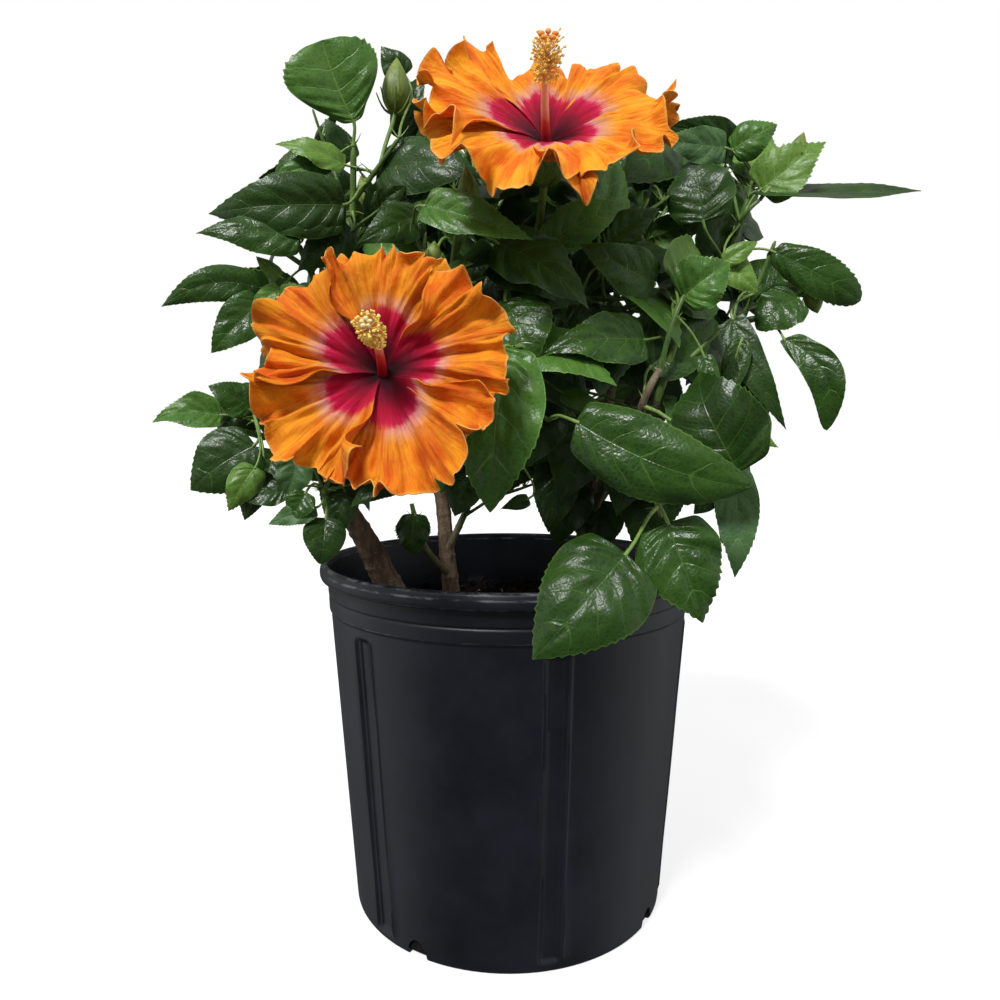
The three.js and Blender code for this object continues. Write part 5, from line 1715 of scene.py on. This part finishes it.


# %% Make the foliage
# Whether listed one by one, rows and columns of the blade's grid, and what its seed adds to the mass's
BLADE_GRIDS = ((True, 52, 21, 900), (False, 34, 13, 950))
GREENS = [shoot_green, petiole_green, bud_green, young_bark]

for name, mass in masses.items():
    leaves, seed = mass["leaves"], mass["spec"]["seed"]
    green = [twig_tubes(mass), petioles(leaves), stipules(leaves, seed)]
    for on, foot, tip, radius in BUDS:
        if on == name:
            green += [bud_part(foot, tip, radius, radius), bud_stalk(mass, foot, tip)]
    title = name.replace("leaves_", "")
    mesh_piece("twigs_" + title, join(green), GREENS, [name], crease=60)
    blades = []
    for by_hand, rows, cols, more in BLADE_GRIDS:
        chosen = [leaf for leaf in leaves if leaf["show"] == by_hand]
        if chosen:
            blades.append(leaf_blades(chosen, rows, cols, seed + more))
    mesh_piece("blades_" + title, join(blades), leaf_finishes, [name], crease=65)
print("foliage triangles:", triangles_of("blades", "twigs"))

# %% [markdown]
# ## Blooms
#
# Five broad petals overlap round a crimson eye, each with one side over its neighbour and one side
# under. They come out of the throat as a funnel, lie open and roll back, and their margins are much
# too long for their width, so they ruffle. A petal is a fan: one parameter runs out from the throat
# and the other across. A small funnel under the five closes the gaps between their inner ends.


# %% Petal surface
# Shares of a petal's length and of its half width from which it is rolled
OUTER = 0.78
SIDE = 0.5


def rolled(share, turn):
    """A strip of length 1 bent into an arc of turn radians: its reach and its rise."""
    turn = np.where(np.abs(turn) < 1e-3, 1e-3, turn)
    return np.sin(turn * share) / turn, (1 - np.cos(turn * share)) / turn


def funnel(v):
    """Height of the open bloom, before it curls back, at a share v of its radius: -7 + 34 v^0.75."""
    return -7 + 34 * v ** 0.75


def petal_fans(spec, rows=54, cols=132):
    """Five fans in the bloom's own frame. Radius r = R v (1 - notch |u|^2.8 + lobes), angle = centre +
    u half(v), height = -7 + 34 v^0.75 - curl v^3 - drop v^2 + overlap u v + ruffles that grow towards
    the margin + creases. The outer fifth is rolled by an angle that changes along the margin, and so
    is one side."""
    random = np.random.default_rng(spec["seed"])
    v = np.linspace(0, 1, rows)[None, :, None]
    u = np.linspace(-1, 1, cols)[None, None, :]
    centre = np.radians(spec["turn"] + 72 * np.arange(5))[:, None, None]

    def wave(count, low, high, drift=0.0):
        """A sine with this many cycles across the petal, whose height and phase differ by petal."""
        phase = random.uniform(0, 2 * np.pi, (5, 1, 1))
        return random.uniform(low, high, (5, 1, 1)) * np.sin(count * np.pi * u + drift * v + phase)

    def waves(*rows):
        """The sum of several such sines."""
        return sum(wave(*row) for row in rows)

    def own(key):
        return np.array(spec[key])[:, None, None]

    half = np.radians(38 + 13 * v ** 0.8)
    edge = own("lengths") * (1 - spec["notch"] * np.abs(u) ** 2.8)
    lobes = waves((3.3, 0.025, 0.05), (6.6, 0.012, 0.026), (15, 0.004, 0.009), (29, 0.002, 0.005))
    edge = edge + spec["lobes"] * lobes * v ** 4
    strip = (spec["radius"] - 3) * edge
    turn = own("rolls") + waves((2.3, 0.4, 0.9), (5.2, 0.35, 0.75), (10.5, 0.2, 0.5))
    reach, rise = rolled(np.maximum(v - OUTER, 0) / (1 - OUTER), turn)
    r = 3 + strip * (np.minimum(v, OUTER) + (1 - OUTER) * reach)
    curl = spec["curl"] * random.uniform(0.8, 1.2, (5, 1, 1))
    z = funnel(v) - curl * v ** 3 - own("drops") * v ** 2 + strip * (1 - OUTER) * rise
    z = z + spec["overlap"] * u * v ** 0.6 * (1 - 0.4 * v)
    ruffles = wave(2.4, 3.8, 6.4) * v ** 2.4 + wave(5.5, 1.8, 3.2, 1.5) * v ** 3.4
    ruffles = ruffles + wave(12.6, 0.5, 1.1, 3) * v ** 6
    creases = wave(5.0, 0.8, 1.5, 2.5) + wave(11, 0.55, 1.0, 6) * v
    creases = creases * (4 * v * (1 - v)) ** 1.2 * smooth(0.1, 0.5, v)
    fine = waves((23, 0.16, 0.3, 3), (15, 0.2, 0.4, 14), (7, 0.3, 0.5, 19)) * smooth(0.3, 0.8, v)
    z = z + spec["ruffle"] * ruffles + spec["crumple"] * (creases + fine)
    sideways = spec["ruffle"] * (wave(4.1, 1.5, 3.0) * v ** 3 + wave(9.3, 0.7, 1.4) * v ** 6)
    width = r * half * (1 - SIDE)
    side = np.maximum(u - SIDE, 0) / (1 - SIDE)
    swing = 0.55 + 0.45 * np.sin(8 * v + random.uniform(0, 6, (5, 1, 1)))
    reach, rise = rolled(side, own("lifts") * swing * smooth(0.2, 0.55, v))
    spread = r * half * np.minimum(u, SIDE) + width * reach + sideways
    z = z + 0.8 * width * rise
    angle = centre + spread / np.maximum(r, 3)
    place = np.stack([r * np.cos(angle), r * np.sin(angle), z + 0 * r], -1)
    return place, np.stack(np.broadcast_arrays((u[0] + 1) / 2, v[0]), -1)


def facing(points, spec):
    """Turns the bloom's own frame so that its z runs along its looks, by the shortest turn, and
    moves its throat into place."""
    looks = unit(np.array(spec["looks"], float))
    axis = np.cross(UP, looks)
    sine, cosine = np.linalg.norm(axis), UP @ looks
    k = axis / sine
    cross = np.array([[0, -k[2], k[1]], [k[2], 0, -k[0]], [-k[1], k[0], 0]])
    turn = np.eye(3) + sine * cross + (1 - cosine) * cross @ cross
    return points @ turn.T + np.array(spec["throat"], float)


# %% [markdown]
# The colour of a petal follows its v: a dark throat, a crimson eye with a feathered edge, a broken
# pinkish white halo, and then orange that deepens in patches, partly its own tone and partly painted
# shade of folds, and in lines, and pales at the margin. Fine lines run out from the throat, so the
# noise that breaks the edge of the eye is squeezed across the petal. The upper bloom is a little more
# golden than the front one.


# %% Petal finish
EYE_STOPS = (
    (0.0, (0.012, 0.0, 0.004)), (0.1, (0.06, 0.0005, 0.008)), (0.22, (0.2, 0.002, 0.02)),
    (0.34, (0.42, 0.001, 0.03)),
)
HALO_STOPS = ((0.43, (0.58, 0.006, 0.075)), (0.475, (0.72, 0.3, 0.27)), (0.53, (0.77, 0.37, 0.16)))
PLAIN_STOPS = ((0.42, (0.58, 0.012, 0.05)), (0.47, (0.72, 0.19, 0.03)))
MARGIN_FROM = 0.975


def petal_finish(name, orange):
    """Two ramps over the same depth, with and without the pale halo, are mixed by a soft cloud. The
    depth is v, shifted by rays, hairs and clouds, and larger at the petal's two sides."""
    finish, shader, place, surface = new_finish(
        name, Roughness=0.6, Specular_IOR_Level=0.16, Sheen_Weight=0.04, Subsurface_Weight=0.1,
        Subsurface_Scale=0.004, Subsurface_Radius=(1.0, 0.35, 0.08))
    across, out, _ = axes_of(surface)
    rays = noise(surface, (52, 2.0, 1), 6, 0.7)
    hairs = noise(surface, (120, 2.4, 1), 3, 0.6)
    broad = noise(surface, (8, 1.8, 1), 4, 0.6)
    cloud = noise(place, 48, 5, 0.6)
    shift = plus(times(minus(rays, 0.5), 0.16), times(minus(hairs, 0.5), 0.14))
    shift = plus(shift, times(minus(cloud, 0.5), 0.24))
    middle = calc("POWER", calc("ABSOLUTE", minus(across, 0.5)), 2)
    depth = plus(plus(out, shift), times(middle, 0.7))
    haloed = ramp(depth, *EYE_STOPS, *HALO_STOPS, (0.61, orange))
    plain = ramp(depth, *EYE_STOPS, *PLAIN_STOPS, (0.56, orange))
    colour = blend_colours(mask(cloud, 0.4, 0.54), plain, haloed)
    patches = plus(times(broad, 0.6), times(cloud, 0.4))
    # Painted shade: a broad noise darkens the orange towards red. This is partly the petal's own uneven
    # tone and partly painted shade of folds, placed by noise and not by the petal's shape.
    tone_and_painted_fold_shade = ramp(patches, (0.41, (0.8, 0.33, 0.3)), (0.54, (1, 1, 1)))
    outside = ramp(out, (0.35, (0.15, 0.15, 0.15)), (0.6, (1, 1, 1)))
    colour = blend_colours(times(outside, 0.8), colour, tone_and_painted_fold_shade, "MULTIPLY")
    lines = ramp(rays, (0.41, (0.78, 0.42, 0.38)), (0.53, (1, 1, 1)))
    colour = blend_colours(times(outside, 0.6), colour, lines, "MULTIPLY")
    pale = times(larger(minus(out, MARGIN_FROM), 0), 26)
    colour = blend_colours(pale, colour, (0.86, 0.46, 0.12))
    height = plus(times(rays, 1.2), times(hairs, 0.5))
    grain = noise(place, (150, 150, 150), 4, 0.6)
    height = plus(height, times(grain, 1.3))
    finish_with(shader, colour, None, height, 0.65, 0.0016)
    return finish


# %% Column, anthers and stigmas
def sphere_points(rings=5, sides=8):
    """Directions on a sphere in rings, with no point at the poles."""
    fall = np.linspace(0.12, np.pi - 0.12, rings)[:, None]
    turn = 2 * np.pi * np.arange(sides) / sides
    return np.stack([np.sin(fall) * np.cos(turn), np.sin(fall) * np.sin(turn), np.cos(fall) + 0 * turn], -1)


def beads(places, sizes, look):
    """Small closed ellipsoids of a few dozen faces each."""
    ball = sphere_points()
    rings, sides = ball.shape[:2]
    points = np.asarray(places)[:, None, None] + ball[None] * np.asarray(sizes)[:, None, None]
    first = np.arange(sides)[None]
    last = first[:, ::-1] + (rings - 1) * sides
    faces = [grid_quads(rings, sides, wrap=True)[:, ::-1], first, last]
    return make_part(points, [copies_of(f, len(points), rings * sides) for f in faces], look=look)


def column_part(spec):
    """A tapering column, anthers on short filaments round its upper part, and five stigmas."""
    random = np.random.default_rng(spec["seed"] + 7)
    height, anthers = spec["column"], spec["anthers"]
    share = np.linspace(0, 1, 24)
    bend = np.sin(np.pi / 2 * np.minimum(share / 0.7, 1))
    path = np.stack([spec["sway"][0] * bend, spec["sway"][1] * bend, -8 + (height * 0.9 + 8) * share], -1)
    column = tubes(path[None], 3.0 - 1.6 * share, 14, look=0)
    up = random.uniform(spec["bare"], 0.93, anthers)
    high = (up - spec["bare"]) / (0.93 - spec["bare"])
    turn = random.uniform(0, 2 * np.pi, anthers)
    rise = 0.15 + high + random.uniform(-0.25, 0.25, anthers)
    out = unit(np.stack([np.cos(turn), np.sin(turn), rise], -1))
    start = np.stack([np.interp(up, share, path[:, k]) for k in range(3)], -1)
    reach = spec["spread"] * (4.0 + 6.0 * high ** 0.7)[:, None] * random.uniform(0.7, 1.1, (anthers, 1))
    t = np.linspace(0, 1, 3)[None, :, None]
    filaments = tubes(start[:, None] + t * (reach * out)[:, None], 0.28, 4, look=1)
    sizes = random.uniform(0.55, 0.9, (anthers, 1)) * random.uniform(0.7, 1.3, (anthers, 3))
    heads = beads(start + reach * out, sizes, 2)
    crown = path[-1] + np.array([0, 0, 0.03 * height])
    turns = 2 * np.pi * np.arange(5) / 5 + 0.3
    arms = unit(np.stack([np.cos(turns), np.sin(turns), 0 * turns + 0.9], -1))
    branch = path[-1] + t * (crown + spec["arms"] * arms - path[-1])[:, None]
    sizes = spec["pads"] * random.uniform(1.1, 1.7, (5, 3)) * np.array([1, 1, 0.75])
    stigmas = beads(crown + (spec["arms"] + 0.4) * arms, sizes, 3)
    return join([column, filaments, heads, tubes(branch, 0.75, 6, look=1), stigmas])


# %% Throat and calyx
THROAT_REACH = 19
THROAT_DEPTH = 3.4


def throat_part(spec, rows=8, cols=48):
    """The petals' own funnel, a little lower: it closes the gaps between their inner ends."""
    w = np.linspace(0, 1, rows)[:, None]
    a = np.linspace(0, 2 * np.pi, cols)[None]
    r = 2 + THROAT_REACH * w + 0 * a
    z = funnel(THROAT_REACH * w / spec["radius"]) - THROAT_DEPTH + 0 * a
    top = np.stack([r * np.cos(a), r * np.sin(a), z], -1)[None]
    uv = np.stack(np.broadcast_arrays(a / (2 * np.pi), THROAT_REACH * w / spec["radius"]), -1)
    return shells(top[:, :, ::-1], 0.5, uv[:, ::-1], np.array([0]), np.array([0]))


def calyx_part(spec):
    """Five pointed sepals in a cup behind the petals, and seven narrow bracts below them."""
    rows, cols = 16, 61
    v = np.linspace(0, 1, rows)[:, None]
    a = np.linspace(0, 2 * np.pi, cols)[None]
    point = 0.55 + 0.45 * np.abs(np.cos(2.5 * a)) ** 0.7
    z = -33 + 31 * v * point
    r = 3.2 + 8.8 * np.sin(np.pi / 2 * np.minimum(v * 1.7, 1)) + 1.6 * v ** 3 + 0 * a
    top = np.stack([r * np.cos(a), r * np.sin(a), z + 0 * a], -1)[None]
    uv = np.stack(np.broadcast_arrays(a / (2 * np.pi), v), -1)
    cup = shells(top[:, :, ::-1], 0.7, uv, np.array([0]), np.array([0]))
    turn = 2 * np.pi * np.arange(7) / 7
    out = np.stack([np.cos(turn), np.sin(turn), 0 * turn], -1)
    paths = bowed(2.5 * out - 33 * UP, 9 * out, 9 * UP[None], 6)
    bracts = tubes(paths, np.linspace(1.1, 0.3, 6)[None], 6)
    knob = tubes(np.array([[-36, -34, -31, -27]])[..., None] * UP, np.array([[2.2, 3.2, 4.2, 4.4]]), 14)
    return join([cup, bracts, knob])


# %% Bloom finishes
def flower_finish(name, low, high, scale, rough=0.5):
    """Soft and grainy, from the low colour to the high one."""
    soft = {"Subsurface_Weight": 0.1, "Subsurface_Scale": 0.002}
    finish, shader, place, _ = new_finish(name, Roughness=rough, **soft)
    grain = noise(place, scale, 4)
    finish_with(shader, ramp(grain, (0.35, low), (0.65, high)), None, grain, 0.5, 0.0005)
    return finish


def column_finish(name, red):
    """Red up to the share red of the column, and peach to pale yellow towards its tip."""
    soft = {"Subsurface_Weight": 0.15, "Subsurface_Scale": 0.002}
    finish, shader, place, surface = new_finish(name, Roughness=0.4, **soft)
    along = axes_of(surface)[0]
    grain = noise(place, 300, 3)
    amount = plus(along, times(minus(grain, 0.5), 0.12))
    colour = ramp(amount, (0.4 * red, (0.55, 0.012, 0.03)), (red, (0.82, 0.08, 0.05)),
                  (red + 0.14, (0.92, 0.45, 0.32)), (0.85, (0.92, 0.66, 0.36)))
    finish_with(shader, colour, None, grain, 0.3, 0.0003)
    return finish


oranges = {
    "front": petal_finish("petal_orange", (0.8, 0.282, 0.009)),
    "top": petal_finish("petal_gold", (0.92, 0.36, 0.014)),
}
columns = {"front": column_finish("column_red", 0.34), "top": column_finish("column_peach", 0.24)}
filament_gold = flower_finish("filament_gold", (0.85, 0.5, 0.14), (0.92, 0.68, 0.3), 300)
anther_gold = flower_finish("anther_gold", (0.92, 0.58, 0.07), (1.0, 0.86, 0.28), 900, 0.85)
stigmas = {}
stigmas["top"] = flower_finish("stigma_orange", (0.7, 0.2, 0.012), (0.8, 0.33, 0.04), 500, 0.6)
stigmas["front"] = flower_finish("stigma_cream", (0.8, 0.62, 0.25), (0.86, 0.76, 0.45), 500, 0.6)

# %% Make the blooms
PETAL_THICKNESS = 0.55


def placed_in(spec, part):
    """The part moved from the bloom's own frame to where the bloom is."""
    return {**part, "points": facing(part["points"], spec)}


for name, spec in BLOOMS.items():
    title = name.replace("bloom_", "")
    fans, uv = petal_fans(spec)
    plain = np.zeros(5, int)
    petals = shells(facing(fans[:, :, ::-1], spec), PETAL_THICKNESS, uv[:, ::-1], plain, plain)
    mesh_piece("petals_" + title, petals, [oranges[title]], [name], crease=75)
    throat = placed_in(spec, throat_part(spec))
    mesh_piece("throat_" + title, throat, [oranges[title]], [name], crease=75)
    golds = [columns[title], filament_gold, anther_gold, stigmas[title]]
    mesh_piece("column_" + title, placed_in(spec, column_part(spec)), golds, [name], crease=60)
    stalk = tubes(curves[name].at(np.linspace(0, 1, 40))[None], np.linspace(*STALK_RADII, 40), 12)
    cup = join([placed_in(spec, calyx_part(spec)), stalk])
    mesh_piece("calyx_" + title, cup, [bud_green], [name], crease=60)
print("bloom triangles:", triangles_of("petals", "throat", "column", "calyx"))

# %% [markdown]
# ## Floor and sizes
#
# A wide pale floor catches a soft shadow. It glows a little, so that it meets the white backdrop with
# no line, and it throws no light back on the object. It isn't part of the object. Last, the count of
# triangles in all and in the largest piece is printed.

# %% Floor
FLOOR_HALF = 20000
FLOOR_DROP = 0.05
FLOOR_GLOW = 0.74
FLOOR_SIGNS = ((-1, -1), (1, -1), (1, 1), (-1, 1))
floor_corners = [(MM * FLOOR_HALF * x, MM * FLOOR_HALF * y, -MM * FLOOR_DROP) for x, y in FLOOR_SIGNS]
pale, floor_shader, floor_place, _ = new_finish(
    "pale_floor", Roughness=1.0, Specular_IOR_Level=0.0, Emission_Color=(1, 1, 1, 1),
    Emission_Strength=FLOOR_GLOW)
floor_tone = ramp(noise(floor_place, 3, 3), (0.2, (0.3, 0.3, 0.3)), (0.8, (0.32, 0.32, 0.32)))
finish_with(floor_shader, floor_tone)
floor_mesh = bpy.data.meshes.new("floor")
floor_mesh.from_pydata(floor_corners, [], [(0, 1, 2, 3)])
floor_mesh.materials.append(pale)
floor = bpy.data.objects.new("floor", floor_mesh)
floor.visible_diffuse = False
floor.visible_glossy = False
bpy.context.scene.collection.objects.link(floor)

# %% Sizes
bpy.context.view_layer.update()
largest = max(triangles_made, key=triangles_made.get)
print("triangles in all:", sum(triangles_made.values()), "largest:", largest, triangles_made[largest])
